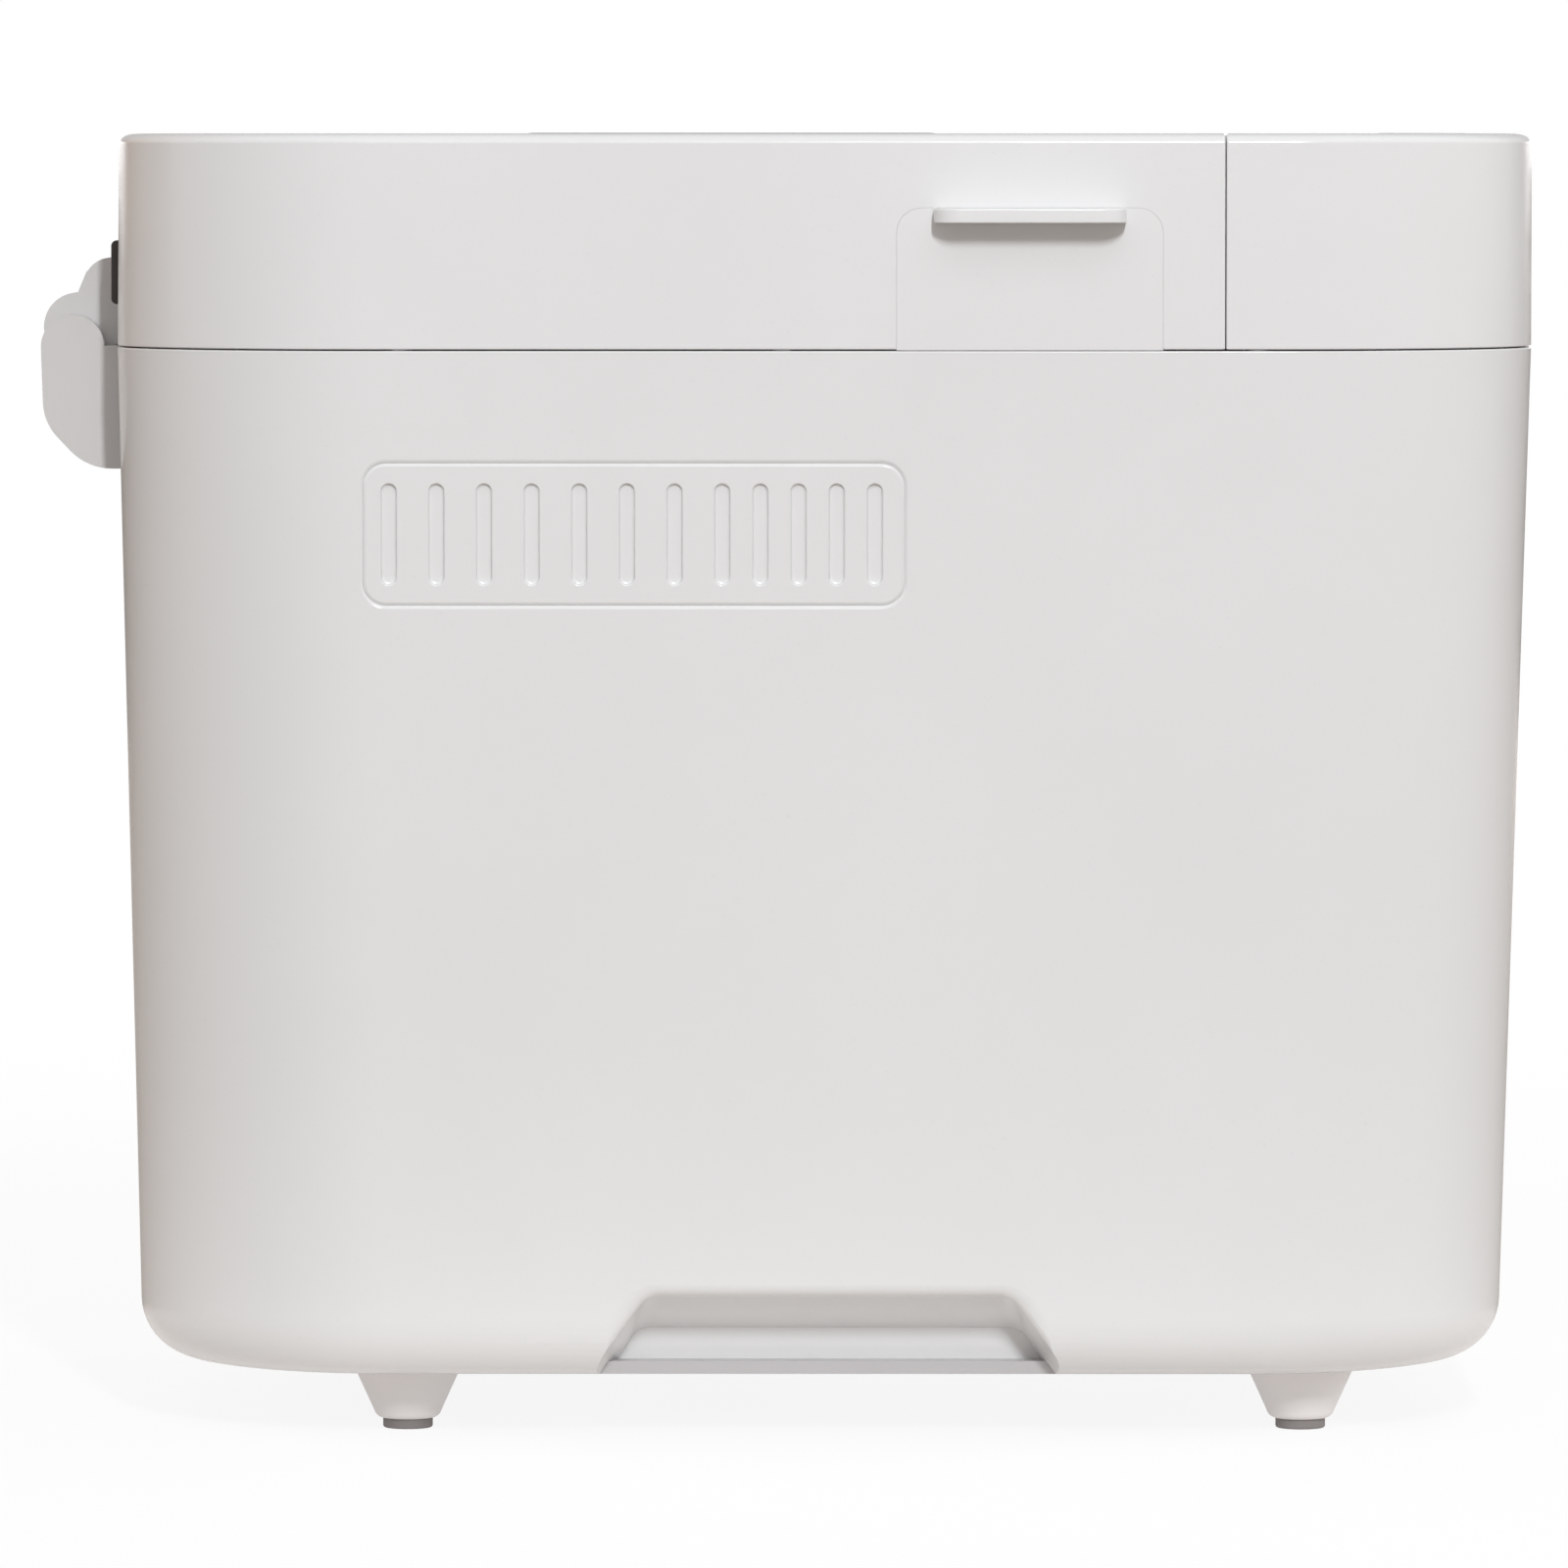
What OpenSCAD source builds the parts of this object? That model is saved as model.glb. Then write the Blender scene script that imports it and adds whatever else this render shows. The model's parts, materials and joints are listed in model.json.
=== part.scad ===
// Bread machine: moulded case on four feet, hinged lid with a window, fixed control
// housing at the front, lift-out pan with a bail, and a belt drive under the chamber.
// Millimetres. +Z is up, -Y is the front, +Y the hinge side. The origin lies on the table
// under the middle of the whole machine, hinge included.

/* [Case] */
// Width of the case across its two sides, at the seam
case_w = 228; // [218:1:244]
// Length of the case from front to back, at the seam
case_l = 342; // [334:1:362]
// Height of the lid's top above the table
case_h = 312; // [304:1:330]
// Height of the lid's top above the seam
lid_h = 51.2; // [48:0.2:56]
// Gap left at the seam
seam_gap = 0.6; // [0.4:0.1:1.2]
// Height of the underside of the case above the table
base_z = 15.3; // [12:0.1:22]
// Corner radius of the case in plan
corner_r = 62; // [52:1:66]
// Wall thickness of the moulded covers
wall = 2.6; // [2:0.1:3.4]
// Radius where the sides roll under the case
bottom_round = 14; // [10:0.5:18]
// Radius along the top edge of the lid
lid_round = 2.4; // [1.5:0.1:4]
// Inward slope of the sides, per millimetre of drop
side_draft = 0.02; // [0.01:0.001:0.03]
// Inward slope of the front
front_draft = 0.029; // [0.015:0.001:0.035]
// Inward slope of the back
rear_draft = 0.021; // [0.01:0.001:0.03]
// Forward lean of the lid's back wall
lid_lean = 0.01; // [0:0.001:0.02]
// Length of the fixed control housing at the front
control_l = 75.9; // [72:0.1:84]
// Gap between the control housing and the lid
split_gap = 0.6; // [0.4:0.1:1.2]

/* [Feet] */
// Distance across the machine between the feet
foot_span_x = 146; // [136:1:150]
// Distance from the case's middle back to the rear feet
foot_rear = 100.5; // [90:0.5:110]
// Distance from the case's middle forward to the front feet
foot_front = 115; // [100:0.5:118]
// Radius of a leg where it leaves the base
leg_top_r = 13.2; // [11:0.1:14]
// Radius of a leg at its foot
leg_low_r = 8.4; // [7.5:0.1:9.5]
// Radius of a rubber pad
pad_r = 6; // [5:0.1:6.5]
// Thickness of a rubber pad
pad_h = 2.4; // [2:0.1:4]
// Thickness of the base plate
base_t = 3.1; // [2.5:0.1:4]
// How far the base plate's edge lies in from the side of the case
base_inset = 12.6; // [11:0.1:13.5]

/* [Carrying grips] */
// Half width of a grip at the underside
grip_low = 55.9; // [50:0.1:60]
// Half width of a grip at its top
grip_high = 44; // [38:0.1:48]
// Height of a grip's top edge above the underside
grip_h = 22.3; // [18:0.1:26]
// Depth of a grip behind the side of the case
grip_depth = 19; // [15:0.5:22]
// Height of the grip's back wall above the underside
grip_back_h = 10.6; // [8.5:0.1:14]
// How far the grips lie forward of the case's middle
grip_forward = 1.2; // [0:0.1:4]

/* [Side vents] */
// Length of a vent panel
vent_l = 128.6; // [124:0.2:140]
// Height of a vent panel
vent_h = 33.8; // [30:0.2:38]
// Corner radius of a vent panel
vent_r = 5.5; // [3:0.5:8]
// Distance of the panel's middle behind the case's middle
vent_back = 45.2; // [35:0.2:55]
// Distance of the panel's middle below the seam
vent_drop = 43.8; // [38:0.2:60]
// Thickness of a vent panel
vent_t = 1.4; // [1.2:0.1:1.6]
// Number of ribs' slots at the wide pitch
wide_slots = 8; // [6:1:8]
// Number of slots at the narrow pitch
narrow_slots = 4; // [2:1:4]
// Wide pitch of the slots
wide_pitch = 11.3; // [9:0.1:11.5]
// Narrow pitch of the slots
narrow_pitch = 9.05; // [7:0.05:9.2]
// Width of a slot
slot_w = 3.6; // [2.5:0.1:4.5]
// Length of a slot
slot_l = 24.3; // [20:0.1:26]
// Depth of a slot
slot_d = 1; // [0.6:0.1:1.1]

/* [Lid] */
// Length of the window from front to back
window_l = 100; // [90:1:110]
// Width of the window
window_w = 86; // [76:1:96]
// Distance of the window's middle behind the case's middle
window_back = 22.6; // [15:0.2:30]
// Length of a lifting tab
tab_l = 45.6; // [40:0.2:52]
// How far a tab stands out of the lid
tab_out = 10; // [8:0.5:13]
// Thickness of a tab
tab_t = 3.5; // [3:0.1:4.5]
// Depth of a tab's top below the lid's top
tab_drop = 17.6; // [15:0.1:20]
// Distance of the tab's middle in front of the case's middle
tab_forward = 48.7; // [40:0.1:50]
// Length of the insert that carries a tab
insert_l = 63.2; // [58:0.2:64]
// Clear depth of the liner's dome above the seam
dome_h = 30; // [28:0.5:32]

/* [Hinge] */
// Distance of the hinge axis behind the back of the case
hinge_out = 12.3; // [11.5:0.1:14]
// Depth of the hinge axis below the seam
hinge_drop = 0.8; // [0:0.1:1.5]
// Radius of the knuckles
knuckle_r = 7.75; // [7:0.05:8.5]
// Half width of the lid's arm
arm_half = 25.5; // [22:0.5:28]
// Thickness of a bracket cheek
cheek_t = 6; // [4.5:0.5:8]
// Radius of the hinge pin
hinge_pin_r = 2.5; // [2:0.1:3]
// Running clearance of the hinge pin, on the radius
hinge_fit = 0.05; // [0.02:0.01:0.09]

/* [Chamber and pan] */
// Inside width of the heating chamber
chamber_w = 172; // [168:1:178]
// Inside length of the heating chamber
chamber_l = 208; // [204:1:214]
// Distance of the chamber's inside back wall from the back of the case
rear_space = 37; // [35:0.5:42]
// Height of the chamber's floor
floor_z = 78; // [76:0.5:84]
// Thickness of the chamber's sheet
sheet_t = 1; // [0.6:0.1:1.2]
// Outside width of the pan's mouth
pan_w = 136; // [130:1:138]
// Outside length of the pan's mouth
pan_l = 184; // [176:1:186]
// Slope of the pan's walls over its whole height
pan_taper = 5; // [3:0.5:6]
// Thickness of the pan's wall
pan_t = 1.6; // [1.2:0.1:2]
// Depth of the pan's rim below the deck
pan_below_deck = 19.4; // [18:0.2:24]
// Width of the pan's rim
rim_w = 3; // [2.5:0.1:3.2]
// Radius of the bail's wire
bail_r = 2.5; // [2:0.1:2.5]
// Reach of the bail from its pivots
bail_reach = 94.7; // [92:0.1:97]
// Radius of the heating tube
heater_r = 3.25; // [2.8:0.05:3.5]
// Reach of the kneading blade from its shaft
blade_reach = 46; // [38:1:50]

/* [Drive] */
// Distance between the drive shaft and the motor
belt_centres = 152; // [148:0.5:154]
// Teeth on the large pulley
large_teeth = 84; // [78:1:88]
// Teeth on the motor pulley
small_teeth = 15; // [14:1:18]
// Pitch of the belt's teeth
belt_pitch = 3; // [2.8:0.05:3.1]
// Width of the belt
belt_w = 10; // [8:0.5:10.5]
// Radius of the drive shaft
drive_r = 5; // [4:0.1:5.5]
// Radius of the pan's own shaft
pan_shaft_r = 4; // [3.5:0.1:4.5]
// Radius of the motor
motor_r = 32; // [28:0.5:34]
// Height of the motor
motor_h = 50; // [44:1:56]
// Running clearance of the shafts, on the radius
shaft_fit = 0.05; // [0.02:0.01:0.09]

/* [Controls] */
// Radius of a key
key_r = 5.5; // [4.5:0.1:6]
// Distance between neighbouring keys
key_pitch = 24; // [20:0.5:26]
// Travel of a key
key_travel = 0.8; // [0.5:0.1:1]
// Width of the display
display_w = 52; // [44:1:60]
// Length of the display
display_l = 22; // [18:1:25]
// Width of the control overlay
overlay_w = 158; // [152:1:164]
// Length of the control overlay
overlay_l = 54; // [52:1:56]

/* [Hidden] */

$fn = 48;
slice_h = 0.01;     // height of the thin discs that a hull spans
over = 1;           // how far a cut runs past the face it opens
fit = 0.3;          // clearance of a piece that drops in, and of moving pieces side by side
hairline = 0.15;    // gap round an insert that looks flush
pan_fn = 32;

// Colours
white = "#f4f2f0";
soft_white = "#e8e6e3";
grey = "#8a8280";
dark = "#35302d";
steel = "#b8babc";
coated = "#4a4744";

// Case, seen from above
seam_z = case_h - lid_h;
case_y = -(hinge_out + knuckle_r) / 2;
front_y = case_y - case_l / 2;
rear_y = case_y + case_l / 2;
case_top = seam_z - seam_gap / 2;
lid_bottom = seam_z + seam_gap / 2;
split_y = front_y + control_l;
side_tilt = atan(side_draft);
function side_in(z) = side_draft * (case_top - z);
function side_x(z) = case_w / 2 - side_in(z);
function front_in(z) = front_draft * (case_top - z);
function rear_in(z) = rear_draft * (case_top - z);
function rear_face(z) = rear_y - rear_in(z);

// Base
base_top = base_z + base_t;
leg_round = 2.4;
post_r = 7;
post_x = case_w / 2 - 37;
post_front = front_y + 38;
post_rear = rear_y - 46;
boss_r = 4.5;
foot_boss_h = 16;
boss_x = case_w / 2 - 52;
boss_front = front_y + 33;
boss_rear = rear_y - 33;
air_slot_w = 3;
air_slot_l = 44;
air_slot_pitch = 9;
web_turn = 68;
web_t = 3;
web_l = 40;

// Screws, all of one size
screw_r = 1.6;
screw_fit = 0.1;
screw_l = 10;
head_r = 3.2;
head_h = 2;
head_recess = head_h + 0.2;

// Carrying grips
grip_y = case_y - grip_forward;
grip_round = 6;
grip_back_taper = 2.4;
grip_wall = 2;
grip_face = side_x(base_z + grip_h / 2);
grip_back = grip_face - grip_depth;

// Deck and chamber
deck_t = 2.4;
deck_drop = 1.5;
deck_top = case_top - deck_drop;
deck_bottom = deck_top - deck_t;
deck_boss_x = side_x(deck_bottom) - wall - boss_r + 0.8;
deck_boss_h = 22;
chamber_y = rear_y - rear_space - chamber_l / 2;
chamber_r = 18;
chamber_flange = 9;
chamber_outside = chamber_l / 2 + sheet_t;

// Chassis, pulleys and bearings
chassis_z = floor_z - 20;
chassis_t = 2;
chassis_top = chassis_z + chassis_t;
chassis_r = 46;
chassis_side_in = 18;
chassis_front = front_y + 16;
chassis_rear = rear_y - 22;
stool = 14;
stool_x = chamber_w / 2 - 18;
stool_y = chamber_l / 2 - 26;
pulley_w = belt_w + 1;
pulley_drop = 22.5;
pulley_hub_drop = 8;
pulley_z = chassis_z - pulley_drop;
pulley_hub_top = chassis_z - pulley_hub_drop;
bush_wall = 3;
bush_r = drive_r + shaft_fit + bush_wall;
barrel_r = bush_r + 5;
bearing_z = pulley_hub_top + 0.5;
bearing_top = floor_z + 1.2;
bearing_flange_r = barrel_r + 11;
tooth_depth = 1.2;
addendum = 0.38;
large_r = large_teeth * belt_pitch / (2 * PI) - addendum;
small_r = small_teeth * belt_pitch / (2 * PI) - addendum;
belt_gap = 0.3;
belt_t = 2;
belt_z = pulley_z + (pulley_w - belt_w) / 2;
capacitor_x = 62;
capacitor_y = front_y + 50;
power_x = 88;
power_y = front_y + 48;
capacitor_r = 14;
capacitor_h = 50;
power_w = 46;
power_h = 50;
motor_y = chamber_y - belt_centres;
motor_shaft_r = 4;
motor_wall = 4;
motor_cap_h = 6;
motor_cap_r = 14;
motor_plate = 2 * motor_r + 6;
motor_top = chassis_top + 2 + motor_h;
rotor_gap = 4;

// Pan stack, upwards from the chamber floor
dock_t = 2;
dock_h = 12;
dock_r = 46.4;
ring_r = dock_r - 0.6;
ring_t = 2.3;
pan_z = floor_z + 20;
pan_top = deck_top - pan_below_deck;
pan_half = [pan_w / 2, pan_l / 2];
pan_r = 24;
pan_round = 8;
rim_t = 2.4;
coupler_z = floor_z + 2;
coupler_t = 3;
coupler_hub = 2.5;
coupler_top = coupler_z + coupler_hub + coupler_t;
dog_h = 5.5;
dog_in = 8;
dog_out = 14;
coupler_r = 16;
wing_z = coupler_top + 0.8;
wing_h = 4.7;
wing_l = 13.5;
wing_t = 6;
wing_hub_r = pan_shaft_r + 2.2;
pan_bush_r = pan_shaft_r + 4;
pan_bush_z = wing_z + wing_h + 0.6;
pan_bush_top = pan_z + 6;
pan_bush_flange = pan_bush_r + 4;
shaft_top = pan_bush_top + 22;
paddle_z = pan_bush_top + fit;
paddle_hub_h = 19.7;
paddle_hub_r = 9;
blade_t = 6;
blade_h = 22;
blade_z = pan_z + pan_t + 1;
blade_root = pan_bush_top + 2 * fit;

// Bail
pivot_z = pan_top - 8.6;
pivot_r = 2;
bail_x = pan_w / 2 + rim_w + bail_r + 0.7;
bail_eye_r = 5;
bail_eye_t = 2 * bail_r + 0.6;
bail_bend = 8;
bail_bar_z = pan_top + bail_r + 0.9;
bail_tilt = asin((bail_bar_z - pivot_z) / bail_reach);
ear_t = 2;
ear_h = 16;
ear_w = 22;

// Heating tube
heater_z = floor_z + 18;
heater_x = chamber_w / 2 - 8;
heater_y = chamber_l / 2 - 8;
heater_bend = 22;
terminal_x = 14;
terminal_bend = 8;
terminal_out = 14;
clip_y = 50;
clip_fit = 0.1;
sensor_r = 3;
sensor_x = 46;
sensor_z = floor_z + 90;
sensor_tail = 12;
sensor_gap = 5.5;

// Lid
lid_wall_in = wall + fit;
flange_t = 1.2;
flange_z = lid_bottom + 0.7;
dome_t = 1.2;
dome_top = seam_z + dome_h;
dome_low = [chamber_w / 2 + 2, chamber_l / 2 + 2];
dome_high = [chamber_w / 2 - 3, chamber_l / 2 - 4];
dome_r = 20;
seal_w = 4;
window_y = case_y + window_back;
window_r = 11;
window_proud = 0.3;
window_t = 1.6;
window_ledge = 4;
pane_t = 2;
lid_boss_low = flange_z + flange_t;
lid_boss_x = case_w / 2 - wall - boss_r + 0.8;
liner_boss_y = 66;

// Lifting tabs
tab_y = case_y - tab_forward;
tab_top = case_h - tab_drop;
tab_round = 6;
insert_t = 1.6;
insert_r = 6;
insert_h = tab_top - lid_bottom;

// Steam vents beside the hinge
steam_in = 34;
steam_w = 14;
steam_low = 9.4;
steam_h = 15.7;
steam_out = 1.9;
steam_deep = 1;

// Hinge
axis_y = rear_y + hinge_out;
axis_z = seam_z - hinge_drop;
cheek_gap = 0.5;
cheek_in = arm_half + cheek_gap;
cheek_out = cheek_in + cheek_t;
cheek_skin = 2;
bracket_drop = 29.7;
block_drop = 9;
seat_gap = 0.05;
hinge_screw_x = 16;

// Mains gland
gland_x = 62;
gland_z = base_z + 30;
gland_bore = 3.6;
gland_barrel = 7.4;
gland_flange = 10.5;
gland_flange_t = 2.5;
gland_in = 12;

// Controls
overlay_t = 0.8;
overlay_r = 9;
overlay_y = front_y + control_l / 2 + 2.5;
display_y = overlay_y + 11;
key_y = overlay_y - 14;
key_hole = key_r + fit;
key_proud = 0.1;
key_flange = key_hole + 0.8;
key_flange_t = 0.9;
key_stem_r = 1.8;
cover_under = case_h - wall;
board_top = case_h - 10.4;
board_t = 1.6;
board_w = 150;
board_l = 47;
switch_w = 6;
switch_h = 3.2;
plunger_h = 1.1;
plunger_r = 1.6;
stem_z = board_top + switch_h + plunger_h + key_travel + fit;
cover_post = 3;
cover_foot_x = case_w / 2 - 30;
cover_foot_y = front_y + 46;
front_foot_x = 38;
front_foot_y = front_y + 11;

// ---------- Outlines ----------

function unit(v) = v / norm(v);
function flat(p) = [p.x, p.y];

// Arc of radius r that rounds the corner p between the points a and b
function corner_arc(a, p, b, r, steps) =
    let (u = unit(flat(a) - flat(p)), w = unit(flat(b) - flat(p)))
    let (half = acos(u * w) / 2, centre = flat(p) + unit(u + w) * r / sin(half))
    let (from = flat(p) + u * r / tan(half) - centre, to = flat(p) + w * r / tan(half) - centre)
    let (start = atan2(from.y, from.x))
    let (turn = (atan2(to.y, to.x) - start + 540) % 360 - 180)
    [for (i = [0 : steps]) centre + r * [cos(start + turn * i / steps), sin(start + turn * i / steps)]];

// Outline through points [x, y, corner radius]; a radius of 0 leaves the corner sharp
function rounded(points, steps = 6) =
    [for (i = [0 : len(points) - 1])
        each points[i][2] > 0
            ? corner_arc(points[(i + len(points) - 1) % len(points)], points[i],
                         points[(i + 1) % len(points)], points[i][2], steps)
            : [flat(points[i])]];

function box_points(w, l, r) = [[-w / 2, -l / 2, r], [w / 2, -l / 2, r], [w / 2, l / 2, r],
        [-w / 2, l / 2, r]];

module plate(w, l, r, t, steps = 6) {
    linear_extrude(t) polygon(rounded(box_points(w, l, r), steps));
}

// ---------- Building blocks ----------

// Stands a flat outline up: its x runs along Y, its y along Z, its thickness along X
module upright() {
    rotate([90, 0, 90]) children();
}

// Puts what is drawn on the +X side on the chosen side
module on_side(side) {
    mirror([side < 0 ? 1 : 0, 0, 0]) children();
}

// Frame on the sloping side wall at height z, outline upright, thickness outwards
module on_side_wall(side, y, z) {
    on_side(side) translate([side_x(z), y, z]) rotate([0, side_tilt, 0]) upright() children();
}

module rod_x(r, from, to) {
    translate([from, 0, 0]) rotate([0, 90, 0]) cylinder(r = r, h = to - from);
}

module rod_y(r, from, to) {
    translate([0, from, 0]) rotate([-90, 0, 0]) cylinder(r = r, h = to - from);
}

// Quarter bend of a round bar in the XY plane, centred on the bend's own centre
module bend(r, radius, start) {
    rotate([0, 0, start]) rotate_extrude(angle = 90) translate([radius, 0]) circle(r = r);
}

// Thin discs at the four corners of the case, for a hull
module case_slice(z, inset, side = 0, front = 0, rear = 0) {
    for (sx = [-1, 1])
        for (end = [[front_y + front, 1], [rear_y - rear, -1]])
            translate([sx * (case_w / 2 - side - corner_r), end[0] + end[1] * corner_r, z])
                cylinder(r = corner_r - inset, h = slice_h);
}

// The case as a solid, drawn in by inset, with its sides sloping and its bottom edge rounded
module case_solid(inset, bottom, top, round) {
    hull() {
        case_slice(top - slice_h, inset, side_in(top), front_in(top), rear_in(top));
        for (a = [0 : 15 : 90]) {
            z = bottom + round * (1 - cos(a));
            case_slice(z, inset + round * (1 - sin(a)), side_in(z), front_in(z), rear_in(z));
        }
    }
}

// The lid and the control housing as one solid, drawn in by inset
module lid_solid(inset, bottom, top, round) {
    hull() {
        case_slice(bottom, inset);
        for (a = [0 : 22.5 : 90]) {
            z = top - slice_h - round * (1 - cos(a));
            case_slice(z, inset + round * (1 - sin(a)), 0, 0, lid_lean * (z - bottom));
        }
    }
}

// Everything from y = low to y = high
module keep_between(low, high) {
    translate([-case_w, low, 0]) cube([2 * case_w, high - low, 2 * case_h]);
}

// Open box with sloping walls and a rounded bottom edge; low and high are [half width, half length]
module tub(bottom, top, low, high, r, round) {
    hull() {
        disc_ring(top - slice_h, high, r);
        for (a = [0 : 22.5 : 90])
            disc_ring(bottom + round * (1 - cos(a)), low - [1, 1] * round * (1 - sin(a)),
                    r - round * (1 - sin(a)));
    }
}

module disc_ring(z, half, r) {
    for (sx = [-1, 1])
        for (sy = [-1, 1])
            translate([sx * (half.x - r), sy * (half.y - r), z]) cylinder(r = r, h = slice_h, $fn = pan_fn);
}

// Screw with its head at z = 0 and above, and its shank below
module screw() {
    difference() {
        union() {
            cylinder(r = head_r, h = head_h);
            translate([0, 0, -screw_l]) cylinder(r = screw_r, h = screw_l + slice_h);
        }
        for (turn = [0, 90])
            rotate([0, 0, turn]) translate([-2, -0.5, head_h - 1]) cube([4, 1, 2]);
    }
}

module screw_hole(depth) {
    translate([0, 0, -depth]) cylinder(r = screw_r + screw_fit, h = depth + over);
}

// Timing pulley outline: one land and one groove for each tooth
function pulley_points(teeth, r) =
    [for (i = [0 : teeth - 1])
        for (step = [[-0.28, r], [0.28, r], [0.38, r - tooth_depth], [0.62, r - tooth_depth]])
            step[1] * [cos((i + step[0]) * 360 / teeth), sin((i + step[0]) * 360 / teeth)]];

// ---------- Case ----------

// A carrying grip's hollow, made larger all round by grow
module grip_hollow(grow) {
    back_low = grip_low - grip_back_taper - 3;
    back_high = grip_high + 2;
    hull() {
        translate([grip_face - over, grip_y, 0]) upright() linear_extrude(grip_depth)
            polygon(rounded([[-grip_low - grow, base_z, 0], [grip_low + grow, base_z, 0],
                [grip_high + grow, base_z + grip_h + grow, grip_round + grow],
                [-grip_high - grow, base_z + grip_h + grow, grip_round + grow]]));
        translate([grip_back - grow, grip_y, 0]) upright() linear_extrude(slice_h)
            polygon(rounded([[-back_low - grow, base_z, 0], [back_low + grow, base_z, 0],
                [back_high + grow, base_z + grip_back_h + grow, grip_round],
                [-back_high - grow, base_z + grip_back_h + grow, grip_round]]));
    }
}

// Bosses that the base plate and the deck are screwed to, each with a web to the wall
module case_bosses() {
    for (sx = [-1, 1]) {
        for (y = [boss_front, boss_rear]) {
            translate([sx * boss_x, y, base_top]) {
                cylinder(r = boss_r, h = foot_boss_h);
                rotate([0, 0, (y < case_y ? -1 : 1) * (sx > 0 ? web_turn : 180 - web_turn)])
                    translate([0, -web_t / 2, 0]) cube([web_l, web_t, foot_boss_h]);
            }
        }
        for (y = deck_boss_ys())
            translate([sx * deck_boss_x, y, deck_bottom - deck_boss_h]) cylinder(r = boss_r, h = deck_boss_h);
    }
}

function deck_boss_ys() = [front_y + corner_r + 6, case_y + 10, rear_y - corner_r - 8];

module base_outline(gap) {
    in = base_inset + gap;
    x = case_w / 2 - side_in(base_z) - in;
    y0 = front_y + front_in(base_z) + in;
    y1 = rear_y - rear_in(base_z) - in;
    r = corner_r - in;
    polygon(rounded([[-x, y0, r], [x, y0, r], [x, y1, r], [-x, y1, r]], 12));
}

module vent_outline(gap) {
    polygon(rounded(box_points(vent_l - 2 * gap, vent_h - 2 * gap, vent_r - gap)));
}

module body_shell() {
    color(white) difference() {
        case_solid(0, base_z, case_top, bottom_round);
        difference() {
            case_solid(wall, base_z + wall, case_top + over, bottom_round - wall);
            for (side = [-1, 1])
                on_side(side) grip_hollow(grip_wall);
            case_bosses();
        }
        translate([0, 0, base_z - over]) linear_extrude(base_t + over) base_outline(0);
        for (side = [-1, 1]) {
            on_side(side) translate([0, 0, -slice_h]) grip_hollow(0);
            on_side_wall(side, case_y + vent_back, seam_z - vent_drop)
                translate([0, 0, -vent_t]) linear_extrude(vent_t + over) vent_outline(0);
            for (y = [boss_front, boss_rear])
                translate([side * boss_x, y, base_top - over])
                        cylinder(r = screw_r + screw_fit, h = foot_boss_h - 1);
            for (y = deck_boss_ys())
                translate([side * deck_boss_x, y, deck_bottom]) screw_hole(deck_boss_h - 4);
        }
        translate([gland_x, 0, gland_z]) rod_y(gland_barrel + hairline, rear_y - 4 * wall - 6, rear_y + over);
        for (sx = [-1, 1])
            for (z = hinge_screw_zs())
                translate([sx * hinge_screw_x, 0, z])
                        rod_y(screw_r + screw_fit, rear_y - 4 * wall, rear_y + over);
    }
}

module base_plate() {
    color(white) difference() {
        union() {
            translate([0, 0, base_z]) linear_extrude(base_t) base_outline(fit);
            for (sx = [-1, 1]) {
                for (y = [case_y - foot_front, case_y + foot_rear])
                    translate([sx * foot_span_x / 2, y, 0]) leg();
                for (y = [post_front, post_rear])
                    translate([sx * post_x, y, base_top]) cylinder(r = post_r, h = chassis_z - base_top);
            }
        }
        for (sx = [-1, 1]) {
            for (y = [boss_front, boss_rear])
                translate([sx * boss_x, y, base_z - over]) {
                    cylinder(r = screw_r + screw_fit, h = base_t + 2 * over);
                    cylinder(r = head_r + fit, h = head_recess + over);
                }
            for (y = [post_front, post_rear])
                translate([sx * post_x, y, chassis_z]) screw_hole(screw_l + 2);
        }
        for (i = [-4 : 4])
            translate([i * air_slot_pitch - air_slot_w / 2, chamber_y - air_slot_l / 2, base_z - over])
                cube([air_slot_w, air_slot_l, base_t + 2 * over]);
    }
}

module leg() {
    rotate_extrude() polygon(rounded([[0, pad_h, 0], [leg_low_r - 1, pad_h, leg_round],
        [leg_low_r, pad_h + leg_round, 1], [leg_top_r, base_z, 0], [0, base_z, 0]]));
}

module foot_pads() {
    color(grey)
        for (sx = [-1, 1])
            for (y = [case_y - foot_front, case_y + foot_rear])
                translate([sx * foot_span_x / 2, y, 0])
                    rotate_extrude() polygon(rounded([[0, 0, 0], [pad_r, 0, 0.6], [pad_r, pad_h, 0],
                            [0, pad_h, 0]]));
}

module case_screws() {
    color(steel)
        for (sx = [-1, 1]) {
            for (y = [boss_front, boss_rear])
                translate([sx * boss_x, y, base_z + head_recess]) mirror([0, 0, 1]) screw();
            for (y = [post_front, post_rear])
                translate([sx * post_x, y, chassis_top]) screw();
            for (y = deck_boss_ys())
                translate([sx * deck_boss_x, y, deck_top]) screw();
        }
}

// Distance of slot i from the panel's middle, counted from the back
function slot_y(i) =
    let (first = vent_l / 2 - 6.2)
    i < wide_slots ? first - i * wide_pitch
        : first - (wide_slots - 1) * wide_pitch - (i - wide_slots + 1) * narrow_pitch;

module vent_panel() {
    translate([0, 0, -vent_t]) difference() {
        linear_extrude(vent_t) vent_outline(hairline);
        for (i = [0 : wide_slots + narrow_slots - 1])
            translate([slot_y(i), 0, vent_t - slot_d])
                    plate(slot_w, slot_l, slot_w / 2 - slice_h, slot_d + over);
    }
}

module vent_panel_left() {
    color(white) on_side_wall(-1, case_y + vent_back, seam_z - vent_drop) vent_panel();
}

module vent_panel_right() {
    color(white) on_side_wall(1, case_y + vent_back, seam_z - vent_drop) vent_panel();
}

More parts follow.
